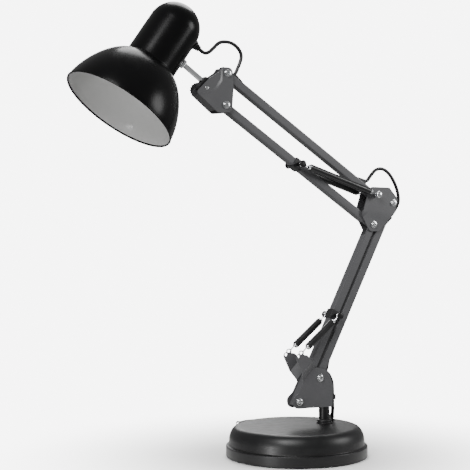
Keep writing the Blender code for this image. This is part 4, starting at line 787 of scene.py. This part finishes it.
    def bent(self, name: str, route: list[Vector], node: str, bodies: Sequence[str]) -> None:
        """Make a loop of one piece for each joint that it crosses.

        Args:
            name: the start of the pieces' names.
            route: the loop's centreline.
            node: the CAD node that it stands for.
            bodies: the bodies that it runs between, in order along the route.
        """
        joints = len(bodies) - 1
        for k in range(joints):
            low, high = (round((len(route) - 1) * share / joints) for share in (k, k + 1))
            part = route[low : high + 1]
            piece = finished(f"{name}_{k + 1}", swept(f"{name}_{k + 1}", part, self.radius, 20), PVC, "cord",
                             [node] if k == 0 else [])
            spare = max(1, len(part) // 10)
            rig.blend(piece, bodies[k], bodies[k + 1], part[spare], part[-1 - spare])

    def build(self) -> None:
        """Build the mains lead and the three loops."""
        route = self.mains()
        length = sum((b - a).length for a, b in zip(route, route[1:]))
        LOG.info("mains lead %.3f m", length)
        lead = finished("mains_lead_pvc", swept("mains_lead_pvc", route, self.radius, 16), PVC, "cord",
                        ["mains_lead", "cord_coil", "switch_lead", "plug_lead"])
        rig.blend(lead, "turret", "base", (0, 0, 0.0680), (0, 0, 0.0455))
        self.lead, self.route, self.length = lead, route, length
        shade = Shade()
        entry = shade.at(ENTRY_LEVEL, SHADE_NECK + 9.5)
        corner = middle("bolt_head_top")
        head_mouth = self.mouth("bolt_head_top", "bolt_elbow_top", -1, 12.5, 90)
        head = self.loop((entry, shade.side), head_mouth, [(-26.2, 23.8), (-21.2, 25.2), (-16.2, 29.2),
                                                           (-5, 38.5), (10, 39), (21, 32), (24.5,
                                                                                            21.5)], corner)
        self.bent("head_loop", head, "cord_head_loop", ["shade", "knuckle", "head", "upper_top_link"])
        upper = self.mouth("bolt_elbow_top", "bolt_head_top", 1, 19.0, 50)
        lower = self.mouth("bolt_elbow_right", "bolt_turret_rear_pivot", -1, 15.0, 25)
        turn = [(-31, 36), (-22.5, 44), (-12, 45.8), (-1, 40), (8.5, 27.5), (14.2, 13), (14, 0)]
        elbow = self.loop(upper, lower, turn, middle("bolt_elbow_right"))
        self.bent("elbow_loop", elbow, "cord_elbow_loop", ["upper_top_link", "elbow", "lower_right_link"])
        foot_mouth = self.mouth("bolt_turret_rear_pivot", "bolt_elbow_right", 1, 12.5, 75)
        clip = (Vector((self.drop, 0, CLIP_HEIGHT)), Vector((0, 0, 1)))
        foot = self.loop(foot_mouth, clip, [(19.3, 1.0), (23.2, -8.0)], middle("bolt_turret_rear_pivot"))
        self.bent("foot_loop", foot, "cord_foot_loop", ["lower_right_link", "turret"])

    def declare(self, pieces: Sequence[bpy.types.Object]) -> None:
        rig.cord(self.lead, exit=self.route[0], length=self.length, diameter=self.thick, far_end="plug",
                lay="coiled",
                path=self.route, with_pieces=pieces)


# ---------------------------------------------------------------- hardware


class Head(Enum):
    """The shape of a bolt's head."""

    CROSS = "pan head with a cross recess"
    DOME = "smooth domed cap"


@dataclass
class Fastening:
    """A bolt across the arm plane with a washer under its head, and a hexagon nut."""

    name: str
    body: str
    head: Head = Head.CROSS
    head_radius: float = 4.6 * MM
    head_height: float = 3.0 * MM
    shank_radius: float = 2.5 * MM
    pitch: float = 0.8 * MM

    def head_mesh(self, place: Matrix, length: float) -> bpy.types.Mesh:
        """Return the bolt, with its head at the place and its shank along the place's Z axis."""
        r, h = self.head_radius, self.head_height
        if self.head is Head.DOME:
            top = [(r * math.sin(math.radians(a)),
                    0.80 * h * (1 - math.cos(math.radians(a)))) for a in range(0, 91, 10)]
            top += [(r, h - 0.15 * MM), (r - 0.15 * MM, h)]
        else:
            pan = [(0.0, 0.0, 0), (2.6 * MM, 0.05 * MM, 1.5 * MM), (3.9 * MM, 0.5 * MM, 0.8 * MM),
                   (4.0 * MM, 2.2 * MM, 0.1 * MM),
                   (3.9 * MM, 2.25 * MM, 0)]
            top = eased(pan) + eased([(3.9 * MM, 2.25 * MM, 0), (4.75 * MM, 2.3 * MM, 0.15 * MM),
                                      (4.75 * MM, h, 0.1 * MM),
                                      (4.0 * MM, h, 0)], 3)
        start = length - 5.5 * MM
        shank = [(0.0, h - 0.2 * MM), (self.shank_radius, h - 0.2 * MM)]
        shank += ladder(self.shank_radius - 0.05 * MM, start, length - 0.5 * MM, 0.1 * MM)
        shank += [(self.shank_radius - 0.6 * MM, length), (0.0, length)]
        thread = Relief(1, self.pitch, 0.16 * MM, start + 0.2 * MM, length - 0.4 * MM)
        head = turned("head", top + [(0.0, top[-1][1])], Matrix.Identity(4), 48)
        if self.head is Head.CROSS:
            head = cut(head, self.recess())
        mesh = joined(f"bolt_{self.name}", [head, turned("shank", shank, Matrix.Identity(4), 40,
                                                         reliefs=[thread])])
        mesh.transform(place)
        return mesh

    def recess(self) -> bpy.types.Mesh:
        """Return the cross that is cut into a pan head."""
        bm = bmesh.new()
        for turn in (0.0, math.pi / 2):
            made = bmesh.ops.create_cube(bm, size=1.0)["verts"]
            for vert in made:
                deep = vert.co.z > 0
                vert.co = Vector((vert.co.x * (2.2 if deep else 4.6) * MM,
                                  vert.co.y * (0.8 if deep else 1.1) * MM,
                                  (1.5 if deep else -0.4) * MM))
            bmesh.ops.rotate(bm, verts=made, cent=(0, 0, 0), matrix=Matrix.Rotation(turn + 0.5, 3, "Z"))
        return to_mesh(bm, "cross")

    def build(self) -> None:
        """Build the bolt and its nut."""
        node, nut = f"bolt_{self.name}", f"nut_{self.name}"
        low, high = (Vector(corner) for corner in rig.box(node))
        centre = (low + high) / 2
        place = facing(Vector((centre.x, low.y, centre.z)), Vector((0, 1, 0)), Vector((0, 0, 1)))
        finished(f"{node}_zinc", self.head_mesh(place, high.y - low.y),
                 CHROME if self.head is Head.DOME else ZINC, "zinc", [node], self.body, 30)
        finished(f"{nut}_zinc", refined(nut, 0.45, 3), ZINC, "zinc", [nut], self.body, 30)


@dataclass
class Spring:
    """A close-wound tension spring in a shrunk sleeve, with a round hook at each end."""

    node: str
    bodies: tuple[str, str]
    anchor: Vector
    pin: str
    sleeve: float
    settle: float
    eye: float = 2.75 * MM
    wire: float = 0.85 * MM
    radius: float = 2.75 * MM
    pitch: float = 1.72 * MM

    def hook(self, centre: Vector, way: Vector, eye: float, coil: Vector) -> list[Vector]:
        """Return a hook's centreline: once round what it holds, then along to the coil."""
        side = Vector((-way.z, 0, way.x))
        points = []
        for k in range(25):
            a = math.radians(200 - 320 * k / 24)
            points.append(centre + (side * math.sin(a) - way * -math.cos(a)) * eye + Vector((0,
                                                                                             0.9 * MM * (k / 24 - 0.5), 0)))
        return points + [centre + way * (eye + 2.2 * MM) + side * 0.2 * MM, coil]

    def build(self) -> None:
        """Build the spring's wire and its sleeve."""
        centre, held = middle(self.node), middle(self.pin)
        start = Vector((self.anchor.x, centre.y, self.anchor.z))
        end = Vector((held.x, centre.y, held.z))
        way = (end - start).normalized()
        side = Vector((-way.z, 0, way.x))
        length = (end - start).length
        low, high = 10.5 * MM, length - 10.5 * MM
        coil = []
        turns = round((high - low) / self.pitch)
        for k in range(turns * 16 + 1):
            a = 2 * math.pi * k / 16
            r = self.radius * min(1.0, 0.35 + k / 12, 0.35 + (turns * 16 - k) / 12)
            along = low + (high - low) * k / (turns * 16)
            coil.append(start + way * along + (side * math.sin(a) + Vector((0, math.cos(a), 0))) * r)
        near = self.hook(start, way, self.eye, coil[0])
        far = self.hook(end, -way, 2.95 * MM, coil[-1])
        wire = swept(f"{self.node}_wire", near[:-1] + coil + list(reversed(far[:-1])), self.wire, 8)
        piece = finished(f"{self.node}_wire", wire, SPRING_STEEL, "chrome", [self.node], sharp=60)
        bare = (1 - self.sleeve) / 2 * (high - low)
        r, a, b = self.radius + self.wire, low + bare, high - bare
        tube = eased([(r + 0.05 * MM, a, 0), (r + 0.75 * MM, a, 0.3 * MM), (r + 0.75 * MM, b, 0.3 * MM),
                      (r + 0.05 * MM, b, 0)])
        steps = ladder(r + 0.75 * MM, a + 1 * MM, b - 1 * MM, 4 * MM)
        tube = tube[: len(tube) // 2] + steps + tube[len(tube) // 2 :]
        cover = finished(f"{self.node}_sleeve", turned(f"{self.node}_sleeve", tube, facing(start, way), 32,
                                                       closed=True), SLEEVE, "spring_sleeve")
        for part in (piece, cover):
            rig.blend(part, *self.bodies, start + way * 4 * MM, start + way * length * self.settle)


# ---------------------------------------------------------------- base and turret


@dataclass
class Base:
    """The weighted round base: enamelled cover, cast weight, foam pad and the stem's bush."""

    flange: float = 90.0 * MM
    drum: float = 86.0 * MM
    flange_height: float = 14.5 * MM
    shoulder: float = 11.5 * MM
    shoulder_drop: float = 18.0 * MM
    wall: float = 1.2 * MM
    steps: int = 192

    def cover(self, low: float, top: float) -> Profile:
        """Return the cover's outline: up the flange, over the drum, and back inside its wall."""
        bend = [(self.drum - self.shoulder + self.shoulder * math.cos(a),
                 top - self.shoulder_drop + self.shoulder_drop * math.sin(a))
                for a in (math.radians(7.5 * k) for k in range(13))]
        skirt = eased([(self.flange - self.wall, low, 0), (self.flange, low, 0.5 * MM), (self.flange,
                                                                                         self.flange_height, 3.2 * MM),
                       (self.drum + 0.6 * MM, self.flange_height + 0.1 * MM, 1.2 * MM), (self.drum,
                                                                                         top - self.shoulder_drop, 0)], 8)
        inside = [(r - self.wall, h - self.wall) for r, h in reversed(bend[:-1])]
        foot = [(self.drum - self.wall, self.flange_height - self.wall), (self.flange - self.wall,
                                                                          self.flange_height - 2 * self.wall)]
        return skirt[:-1] + bend + [(0.0, top), (0.0, top - self.wall)] + inside + foot

    def build(self) -> None:
        """Build the base's pieces."""
        low, high = (Vector(corner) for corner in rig.box("base_cover"))
        mesh = turned("base_cover", self.cover(low.z, high.z), Matrix.Identity(4), self.steps, closed=True)
        finished("base_cover_enamel", mesh, ENAMEL_SATIN, "black_enamel", ["base_cover"], "base", 50)
        half = size("base_pad") / 2
        pad = eased([(0, 0, 0), (half.x, 0, 0.5 * MM), (half.x, 2 * half.z, 0.5 * MM), (0, 2 * half.z, 0)], 4)
        finished("base_pad_foam", turned("base_pad", pad, Matrix.Identity(4), self.steps), FOAM, "foam",
                 ["base_pad"], "base")
        finished("base_weight_iron", refined("base_weight", 1.2, 3), IRON, "cast_iron", ["base_weight"],
                 "base")
        bush = middle("stem_bush")
        top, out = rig.box("stem_bush")[1][2], size("stem_bush").x / 2
        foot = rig.box("stem_bush")[0][2]
        bore = 7.3 * MM
        collar = eased([(bore, foot, 0), (bore + 2.0 * MM, foot, 0.3 * MM), (bore + 2.0 * MM, top - 1.6 * MM,
                                                                             0),
                        (out, top - 1.6 * MM, 0.1 * MM), (out, top - 0.5 * MM, 0.6 * MM), (out - 1.4 * MM,
                                                                                           top, 0.4 * MM), (bore, top, 0)])
        mesh = turned("stem_bush", collar, Matrix.Translation((bush.x, bush.y, 0)), 64, closed=True)
        finished("stem_bush_nylon", mesh, NYLON, "plastic", ["stem_bush"], "base")


@dataclass
class Turret:
    """The swivelling stem with its bracket, ears and cord clip."""

    collar: float = 9.4 * MM

    def build(self) -> None:
        """Build the stem, its nut, the bracket, its fastenings and the clip."""
        finished("stem_enamel", refined("stem", 0.35, 3), ENAMEL_SATIN, "black_enamel", ["stem"], "turret")
        finished("stem_nut_zinc", refined("stem_nut", 0.5, 3), ZINC, "zinc", ["stem_nut"], "turret")
        finished("turret_bracket_powder", refined("turret_bracket", 0.35, 3), POWDER_GREY, "grey_enamel",
                 ["turret_bracket"], "turret")
        finished("cord_clip_nylon", refined("cord_clip", 0.5, 3), NYLON, "plastic", ["cord_clip"], "turret")
        centre, top = middle("stem"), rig.box("stem_bush")[1][2] + 0.3 * MM
        ring = eased([(7.05 * MM, top, 0), (self.collar, top, 0.3 * MM), (self.collar, top + 2.6 * MM,
                                                                          0.7 * MM),
                      (7.05 * MM, top + 3.2 * MM, 0)])
        mesh = turned("stem_collar", ring, Matrix.Translation((centre.x, centre.y, 0)), 64, closed=True)
        finished("stem_collar_nylon", mesh, NYLON, "plastic", body="turret")
        for name in ("turret_front_pivot", "turret_rear_pivot"):
            Fastening(name, "turret").build()


# ---------------------------------------------------------------- arms


@dataclass
class Arms:
    """Four square tubes with their cord guides, spring pins, clips and springs."""

    edge: float = 1.5
    cap: float = 4.6 * MM
    pin: float = 2.0 * MM
    guides: tuple[tuple[str, str], ...] = (
        ("cord_guide_foot", "lower_right_link"), ("cord_guide_elbow_lower", "lower_right_link"),
        ("cord_guide_elbow_upper", "upper_top_link"), ("cord_guide_head", "upper_top_link"),
    )

    def soften_tube(self, bm: bmesh.types.BMesh) -> None:
        """Round a square tube's long outer edges, as rolling leaves them."""
        long = [e for e in bm.edges if e.calc_length() > 60 * MM and len(e.link_faces) == 2 and e.calc_face_angle(0) > 1.0
                and abs(abs(e.verts[0].co.y) - TUBE_HALF * MM) < 0.2 * MM]
        bmesh.ops.bevel(bm, geom=long, offset=self.edge * MM, offset_type="OFFSET", segments=5, profile=0.5,
                        affect="EDGES",
                        clamp_overlap=True, material=-1)

    def spring_pin(self, node: str, body: str) -> None:
        """Build a pin with two domed caps."""
        centre, half = middle(node), size(node).y / 2
        cap = [(0.0, half, 0), (self.cap * 0.6, half, 1.6 * MM), (self.cap, half - 1.0 * MM, 0.7 * MM),
               (self.cap, half - 2.0 * MM, 0.2 * MM), (self.pin, half - 2.0 * MM, 0)]
        end = eased(cap)
        profile = end + [(r, -h) for r, h in reversed(end)]
        mesh = turned(node, profile, facing(centre, Vector((0, 1, 0))), 48)
        finished(f"{node}_enamel", mesh, ENAMEL_SATIN, "black_enamel", [node], body)

    def build(self) -> None:
        """Build every piece that moves with the arms."""
        tubes = {"lower_left_tube": "lower_left_link", "lower_right_tube": "lower_right_link",
                 "upper_top_tube": "upper_top_link", "upper_bottom_tube": "upper_bottom_link"}
        for node, body in tubes.items():
            mesh = refined(node, 0.22, 2, 40, self.soften_tube)
            finished(f"{node}_powder", mesh, POWDER_GREY, "grey_enamel", [node], body, 30)
        for node, body in self.guides:
            finished(f"{node}_nylon", refined(node, 0.7, 4), NYLON, "plastic", [node], body)
        for level, body in (("lower", "lower_left_link"), ("upper", "upper_bottom_link")):
            self.spring_pin(f"{level}_spring_pin", body)
            clip = f"{level}_spring_clip"
            finished(f"{clip}_nylon", refined(clip, 0.45, 3), NYLON, "plastic", [clip], body)
        pivot = middle("lower_spring_pin")
        ear = 2 * middle("lower_spring_front") - pivot
        for side in ("front", "rear"):
            Spring(f"lower_spring_{side}", ("turret", "lower_left_link"), ear, "lower_spring_pin", 0.90, 0.8,
                   3.3 * MM).build()
            Spring(f"upper_spring_{side}", ("elbow", "upper_bottom_link"), middle("bolt_elbow_top"),
                   "upper_spring_pin", 0.94, 0.5).build()


# ---------------------------------------------------------------- elbow and head


@dataclass
class Elbow:
    """The folded elbow bracket, its three fastenings and the spacers that hold the upper springs out."""

    plate: float = 9.4 * MM
    spacer: float = 3.7 * MM

    def build(self) -> None:
        """Build the bracket, the fastenings and the spacers."""
        finished("elbow_bracket_powder", refined("elbow_bracket", 0.5, 3), POWDER_GREY, "grey_enamel",
                 ["elbow_bracket"], "elbow", 30)
        Fastening("elbow_top", "elbow", Head.DOME).build()
        Fastening("elbow_bottom", "elbow").build()
        Fastening("elbow_right", "elbow").build()
        bolt, spring = middle("bolt_elbow_top"), abs(middle("upper_spring_front").y)
        for side, nut in ((-1, 17.6 * MM), (1, 17.9 * MM)):
            for k, (low, high) in enumerate(((self.plate, spring - 1.3 * MM), (spring + 1.3 * MM, nut))):
                ring = eased([(2.6 * MM, low, 0), (self.spacer, low, 0.3 * MM), (self.spacer, high,
                                                                                 0.3 * MM), (2.6 * MM, high,
                                                                                             0)], 3)
                mesh = turned(f"spacer_{side}_{k}", ring, facing(Vector((bolt.x, 0, bolt.z)),
                                                                 Vector((0, side, 0))), 40, closed=True)
                tag = "front" if side < 0 else "rear"
                finished(f"elbow_spacer_{tag}_{k + 1}_zinc", mesh, ZINC, "zinc", body="elbow")


@dataclass
class HeadBracket:
    """The folded head bracket with the clamp stud, its knob and the tilting block."""

    lobes: int = 8
    flute: float = 0.65 * MM

    def knob(self) -> bpy.types.Mesh:
        """Return the moulded knob, fluted round its rim."""
        low, high = (Vector(corner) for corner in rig.box("clamp_knob"))
        centre, radius, depth = (low + high) / 2, (high.z - low.z) / 2 - self.flute, high.y - low.y
        outline = eased([(2.7 * MM, 0, 0), (4.6 * MM, 0, 0.5 * MM), (4.8 * MM, 3.0 * MM, 1.0 * MM),
                         (radius, 4.0 * MM, 1.2 * MM),
                         (radius, depth - 1.4 * MM, 0.5 * MM), (radius - 1.6 * MM, depth,
                                                                1.2 * MM), (4.2 * MM, depth, 0.5 * MM),
                         (3.9 * MM, depth - 0.8 * MM, 0.3 * MM), (2.7 * MM, depth - 0.8 * MM, 0)], 6)
        flutes = Relief(self.lobes * 2, 0.0, self.flute, 4.2 * MM, depth - 0.7 * MM, radius - 1.0 * MM)
        return turned("clamp_knob", outline, facing(Vector((centre.x, low.y, centre.z)), Vector((0, 1, 0))),
                      160, True, [flutes])

    def stud(self) -> bpy.types.Mesh:
        """Return the clamp stud, threaded along its knob end."""
        low, high = (Vector(corner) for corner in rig.box("clamp_stud"))
        centre, length, r = (low + high) / 2, high.y - low.y, (high.x - low.x) / 2
        start = length * 0.5
        profile = eased([(0, 0, 0), (r, 0, 0.4 * MM), (r, start, 0)], 3)
        profile += ladder(r - 0.05 * MM, start, length - 0.5 * MM, 0.1 * MM) + [(r - 0.6 * MM, length),
                                                                                (0, length)]
        thread = Relief(1, 0.8 * MM, 0.16 * MM, start, length - 0.4 * MM)
        return turned("clamp_stud", profile, facing(Vector((centre.x, low.y, centre.z)), Vector((0, 1, 0))),
                      40, reliefs=[thread])

    def build(self) -> None:
        """Build the bracket, the fastenings, the clamp and the block."""
        finished("head_bracket_powder", refined("head_bracket", 0.5, 3), POWDER_GREY, "grey_enamel",
                 ["head_bracket"], "head", 30)
        for name in ("head_top", "head_bottom"):
            Fastening(name, "head").build()
        finished("clamp_stud_zinc", self.stud(), ZINC, "zinc", ["clamp_stud"], "head", 30)
        finished("clamp_knob_nylon", self.knob(), NYLON, "plastic", ["clamp_knob"], "clamp_knob", 50)
        finished("tilt_block_enamel", refined("tilt_block", 0.8, 4), ENAMEL_SATIN, "black_enamel",
                 ["tilt_block"], "knuckle")
        shade = Shade()
        rod, r = size("shade_rod"), 3.3 * MM
        length = math.hypot(rod.x, rod.z) - 1.6 * r
        start = shade.at(ROD_LEVEL, SHADE_NECK - 8.0)
        profile = eased([(0, 0, 0), (r, 0, 0.5 * MM), (r, 12 * MM, 0)], 3)
        profile += ladder(r - 0.05 * MM, 12 * MM, 15 * MM, 0.12 * MM) + eased([(r, 15 * MM, 0),
                                                                               (r, length, 0.6 * MM), (0,
                                                                                                       length, 0)], 3)
        mesh = turned("shade_rod", profile, facing(start, shade.side), 48)
        finished("shade_rod_chrome", mesh, CHROME, "chrome", ["shade_rod"], "knuckle", 40)


# ---------------------------------------------------------------- shade


@dataclass
class Shade:
    """The spun bell shade with its rolled rim, lampholder, rod nuts and cord sleeve."""

    rim: float = 70.9 * MM
    neck: float = SHADE_NECK * MM
    bell: float = 66.7 * MM
    neck_end: float = 124.0 * MM
    wall: float = 0.9 * MM
    bulge: float = 1.55
    steps: int = 224

    def __post_init__(self) -> None:
        """Find the shade's axis from the joint it turns on, and its rim from the CAD piece."""
        self.side = Vector(joint("shade_turn")["axis"]).normalized()
        self.axis = Vector((-self.side.z, 0, self.side.x))
        if self.axis.z < 0:
            self.axis.negate()
        points = [frame["nodes"]["shade"].matrix_world @ v.co for v in frame["nodes"]["shade"].data.vertices]
        low = min(p.dot(self.axis) for p in points)
        ring = [p for p in points if p.dot(self.axis) < low + 0.2 * MM]
        self.origin = sum(ring, Vector()) / len(ring) + self.axis * 1.2 * MM
        self.origin.y = 0.0

    def at(self, height: float, out: float) -> Vector:
        """Return a point at a height above the rim and a distance towards the rod, both in mm."""
        return self.origin + self.axis * height * MM + self.side * out * MM

    def bell_radius(self, height: float) -> float:
        """Return the bell's outer radius at a height above the rim."""
        share = 1 - min(1.0, max(0.0, height / self.bell)) ** self.bulge
        return self.neck + (self.rim - self.neck) * share ** (1 / self.bulge)

    def shell(self) -> bpy.types.Mesh:
        """Return the shell, with material 0 outside and 1 inside."""
        outer: Profile = []
        for k in range(25):
            a = math.radians(90 - 90 * k / 24)
            outer.append((self.neck * math.cos(a), self.neck_end + self.neck * math.sin(a)))
        outer += ladder(self.neck, self.neck_end - 8 * MM, self.bell + 2.2 * MM, 8 * MM)
        fall = [(self.neck + 0.25 * MM, self.bell + 0.9 * MM), (self.neck + 1.0 * MM, self.bell + 0.15 * MM)]
        shares = [1 - 0.5 * (1 - math.cos(math.pi * k / 44)) for k in range(45)]
        curve = [(self.bell_radius(self.bell * s), self.bell * s) for s in shares]
        outer += fall + [p for p in curve if p[0] > self.neck + 2.0 * MM]
        inner = []
        for k, (r, h) in enumerate(outer):
            before, after = outer[max(0, k - 1)], outer[min(len(outer) - 1, k + 1)]
            way = Vector((after[0] - before[0], after[1] - before[1])).normalized()
            inner.append((max(0.0, r + way.y * self.wall) if k else 0.0,
                          h - way.x * self.wall if k else h - self.wall))
        bead = [(self.rim - 0.35 * MM + 1.1 * MM * math.cos(math.radians(a)),
                 -0.5 * MM + 1.1 * MM * math.sin(math.radians(a)))
                for a in range(30, -211, -20)]
        profile = outer + bead + list(reversed(inner[:-1]))
        place = facing(self.origin, self.axis)
        mesh = turned("shade_shell", profile, Matrix.Identity(4), self.steps)
        mesh.materials.append(ENAMEL_BLACK.material())
        mesh.materials.append(ENAMEL_PALE.material())
        for face in mesh.polygons:
            c, n = face.center, face.normal
            inward = c.x * n.x + c.y * n.y + (c.z - 45 * MM) * n.z < 0
            face.material_index = int(inward and c.z > 0.6 * MM)
        mesh.transform(place)
        return mesh

    def holder(self) -> list[bpy.types.Mesh]:
        """Return the lampholder's body and its threaded shell."""
        low, top, mouth, out = 95.0, 147.0, 13.6, 20.0
        reach = 30.5
        body = [(0, top, 0), (9, top, 1.5), (10.5, top - 12, 1.0), (out - 3, top - 18, 2.0),
                (out - 3, low + 23, 0.3),
                (reach, low + 23, 0.3), (reach, low + 21.5, 0.3), (out, low + 21.5, 0.6), (out, low + 12,
                                                                                           0.3), (out - 0.6,
                                                                                                  low + 11.5, 0.3),
                (out - 0.6, low + 10.5, 0.3), (out, low + 10, 0.3), (out, low + 1.2, 0.8), (out - 1.2, low,
                                                                                            0.8), (mouth + 0.7, low, 0.6),
                (mouth + 0.2, low + 1.2, 0.3), (mouth + 0.2, top - 22, 0.5), (0, top - 22, 0)]
        place = facing(self.origin, self.axis)
        ceramic = turned("lampholder", eased([(r * MM, h * MM, s * MM) for r, h, s in body]), place, 96)
        thread = Relief(1, 3.6 * MM, 0.45 * MM, (low + 3.5) * MM, (top - 25) * MM)
        inside = ladder((mouth - 0.6) * MM, (low + 3) * MM, (top - 24) * MM, 0.4 * MM)
        outside = [((mouth + 0.05) * MM, h) for _, h in (inside[-1], inside[0])]
        contact = eased([(0, (top - 24.5) * MM, 0), (3.4 * MM, (top - 24.5) * MM, 0.6 * MM),
                         (3.4 * MM, (top - 22) * MM, 0)])
        brass = joined("thread", [turned("shell", inside + outside, place, 96, True, [thread]),
                                  turned("contact", contact, place, 32)])
        return [ceramic, brass]

    def build(self) -> None:
        """Build the shell and everything fixed to it."""
        shell = self.shell()
        shade = finished("shade_enamel", shell, [ENAMEL_BLACK, ENAMEL_PALE], "black_enamel", ["shade"],
                         "shade", 60)
        LOG.info("%s has %d faces", shade.name, len(shell.polygons))
        ceramic, brass = self.holder()
        finished("lampholder_steatite", ceramic, STEATITE, "lampholder", ["lampholder"], "shade")
        finished("lampholder_thread_brass", brass, BRASS, "lampholder", body="shade", sharp=60)
        place = facing(self.at(ROD_LEVEL, SHADE_NECK), self.side)
        bore, out, high = 3.6 * MM, 5.6 * MM, 4.5 * MM
        grip = eased([(bore, 0.3 * MM, 0), (out + 0.6 * MM, 0.3 * MM, 0.2 * MM), (out + 0.6 * MM, 1.0 * MM,
                                                                                  0.2 * MM)], 3)
        grip += ladder(out - 0.2 * MM, 1.1 * MM, high - 0.4 * MM, 0.6 * MM)
        grip += eased([(out - 0.2 * MM, high - 0.4 * MM, 0), (out - 0.6 * MM, high, 0.2 * MM),
                       (bore, high, 0)], 3)
        knurl = Relief(36, 0.0, 0.2 * MM, 1.05 * MM, high - 0.3 * MM, bore + 1 * MM)
        mesh = turned("rod_nut_outer", grip, place, 288, True, [knurl])
        finished("rod_nut_outer_chrome", mesh, CHROME, "chrome", ["rod_nut_outer"], "shade", 40)
        finished("rod_nut_inner_zinc", refined("rod_nut_inner", 0.5, 3), ZINC, "zinc", ["rod_nut_inner"],
                 "shade", 30)
        ribs: list[tuple[float, float, float]] = [(2.35, 9.5, 0), (3.2, 9.5, 0.3)]
        for k in range(3):
            h = 9.5 - 2.2 * (k + 1)
            ribs += [(3.7 + 0.6 * k, h + 1.4, 0.3), (3.7 + 0.6 * k, h + 0.5, 0.3), (3.1 + 0.6 * k, h + 0.2,
                                                                                    0.2), (3.1 + 0.6 * k, h,
                                                                                           0.2)]
        ribs += [(6.2, 2.2, 0.5), (6.2, 0.4, 0.3), (3.8, 0.4, 0), (3.8, -1.6, 0.3), (2.35, -1.6, 0)]
        mesh = turned("cord_sleeve", eased([(r * MM, h * MM, s * MM) for r, h, s in ribs], 3),
                      facing(self.at(ENTRY_LEVEL, SHADE_NECK), self.side), 48, True)
        finished("shade_cord_sleeve_pvc", mesh, SLEEVE, "plastic", ["shade_cord_sleeve"], "shade")


# ---------------------------------------------------------------- mains fittings


@dataclass
class MainsFittings:
    """The switch on the lead, the plug at its end and the tie round the coil."""

    sleeve: float = 10.0 * MM
    seam: float = 0.25 * MM

    def seamed(self, level: float) -> Callable[[bmesh.types.BMesh], None]:
        """Return a step that presses the joint line between two mouldings at a height."""

        def press(bm: bmesh.types.BMesh) -> None:
            for height in (level - self.seam, level + self.seam):
                bmesh.ops.bisect_plane(bm, geom=bm.verts[:] + bm.edges[:] + bm.faces[:], plane_co=(0, 0,
                                                                                                   height), plane_no=(0, 0, 1))
            band = [f for f in bm.faces if all(abs(v.co.z - level) < self.seam * 1.2 for v in f.verts)]
            bmesh.ops.inset_region(bm, faces=band, thickness=0.0, depth=-0.25 * MM, use_even_offset=False)

        return press

    def build(self) -> list[bpy.types.Object]:
        """Build the fittings and return the ones on the lead."""
        level = middle("switch_case").z
        case = finished("switch_case_nylon", refined("switch_case", 0.35, 2, 40, self.seamed(level)), NYLON,
                        "plastic", ["switch_case"], "base")
        rocker = finished("switch_rocker_nylon", refined("switch_rocker", 0.6, 4), NYLON, "plastic",
                          ["switch_rocker"], "switch_rocker")
        plug_mesh = refined("mains_plug", 0.35, 2, 40, self.split_pins)
        self.paint_pins(plug_mesh)
        plug = finished("mains_plug_nylon", plug_mesh, [NYLON, ZINC], "plastic", ["mains_plug"], "base")
        tie = finished("cord_tie_foam", refined("cord_tie", 0.15, 2), FOAM, "foam", ["cord_tie"], "base")
        return [case, rocker, plug, tie]

    def front(self) -> float:
        """Return how far back the plug's face lies."""
        back = Cords().back_way
        return min((frame["nodes"]["mains_plug"].matrix_world @ v.co).dot(back) for v in frame["nodes"]["mains_plug"].data.vertices) + 19.0 * MM

    def split_pins(self, bm: bmesh.types.BMesh) -> None:
        """Cut the pins where their insulating sleeves end."""
        back = Cords().back_way
        bmesh.ops.bisect_plane(bm, geom=bm.verts[:] + bm.edges[:] + bm.faces[:],
                               plane_co=back * (self.front() - self.sleeve), plane_no=back)

    def paint_pins(self, mesh: bpy.types.Mesh) -> None:
        """Give the bare ends of the pins material 1."""
        back = Cords().back_way
        limit = self.front() - self.sleeve
        mesh.materials.append(NYLON.material())
        mesh.materials.append(ZINC.material())
        for face in mesh.polygons:
            face.material_index = int(face.center.dot(back) < limit)


def note(key: str, sizes: dict[str, list[list[float]]]) -> None:
    """Keep the shown object's box under a key."""
    bpy.context.view_layer.update()
    sizes[key] = [[float(v) for v in corner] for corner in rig.bounds()]


def main() -> None:
    """Build the picture: camera, cords, base, turret, arms, elbow, head, shade and mains fittings."""
    logging.basicConfig(level=logging.INFO, format="%(message)s")
    kept = set(frame["nodes"].values()) | set(frame["bodies"].values())
    for obj in [o for o in bpy.data.objects if o not in kept and o.type in {"MESH", "LIGHT", "CAMERA"}]:
        bpy.data.objects.remove(obj)
    sizes: dict[str, list[list[float]]] = {}
    note("cad", sizes)
    studio = Studio()
    studio.place_camera()
    cords = Cords()
    cords.build()
    for part in (Base(), Turret(), Arms(), Elbow(), HeadBracket(), Shade()):
        part.build()
        LOG.info("%s built", type(part).__name__)
    cords.declare(MainsFittings().build())
    studio.build()
    note("visual", sizes)
    with open("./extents.json", "w", encoding="utf-8") as file:
        json.dump(sizes, file, indent=1)


if __name__ == "__main__":
    main()
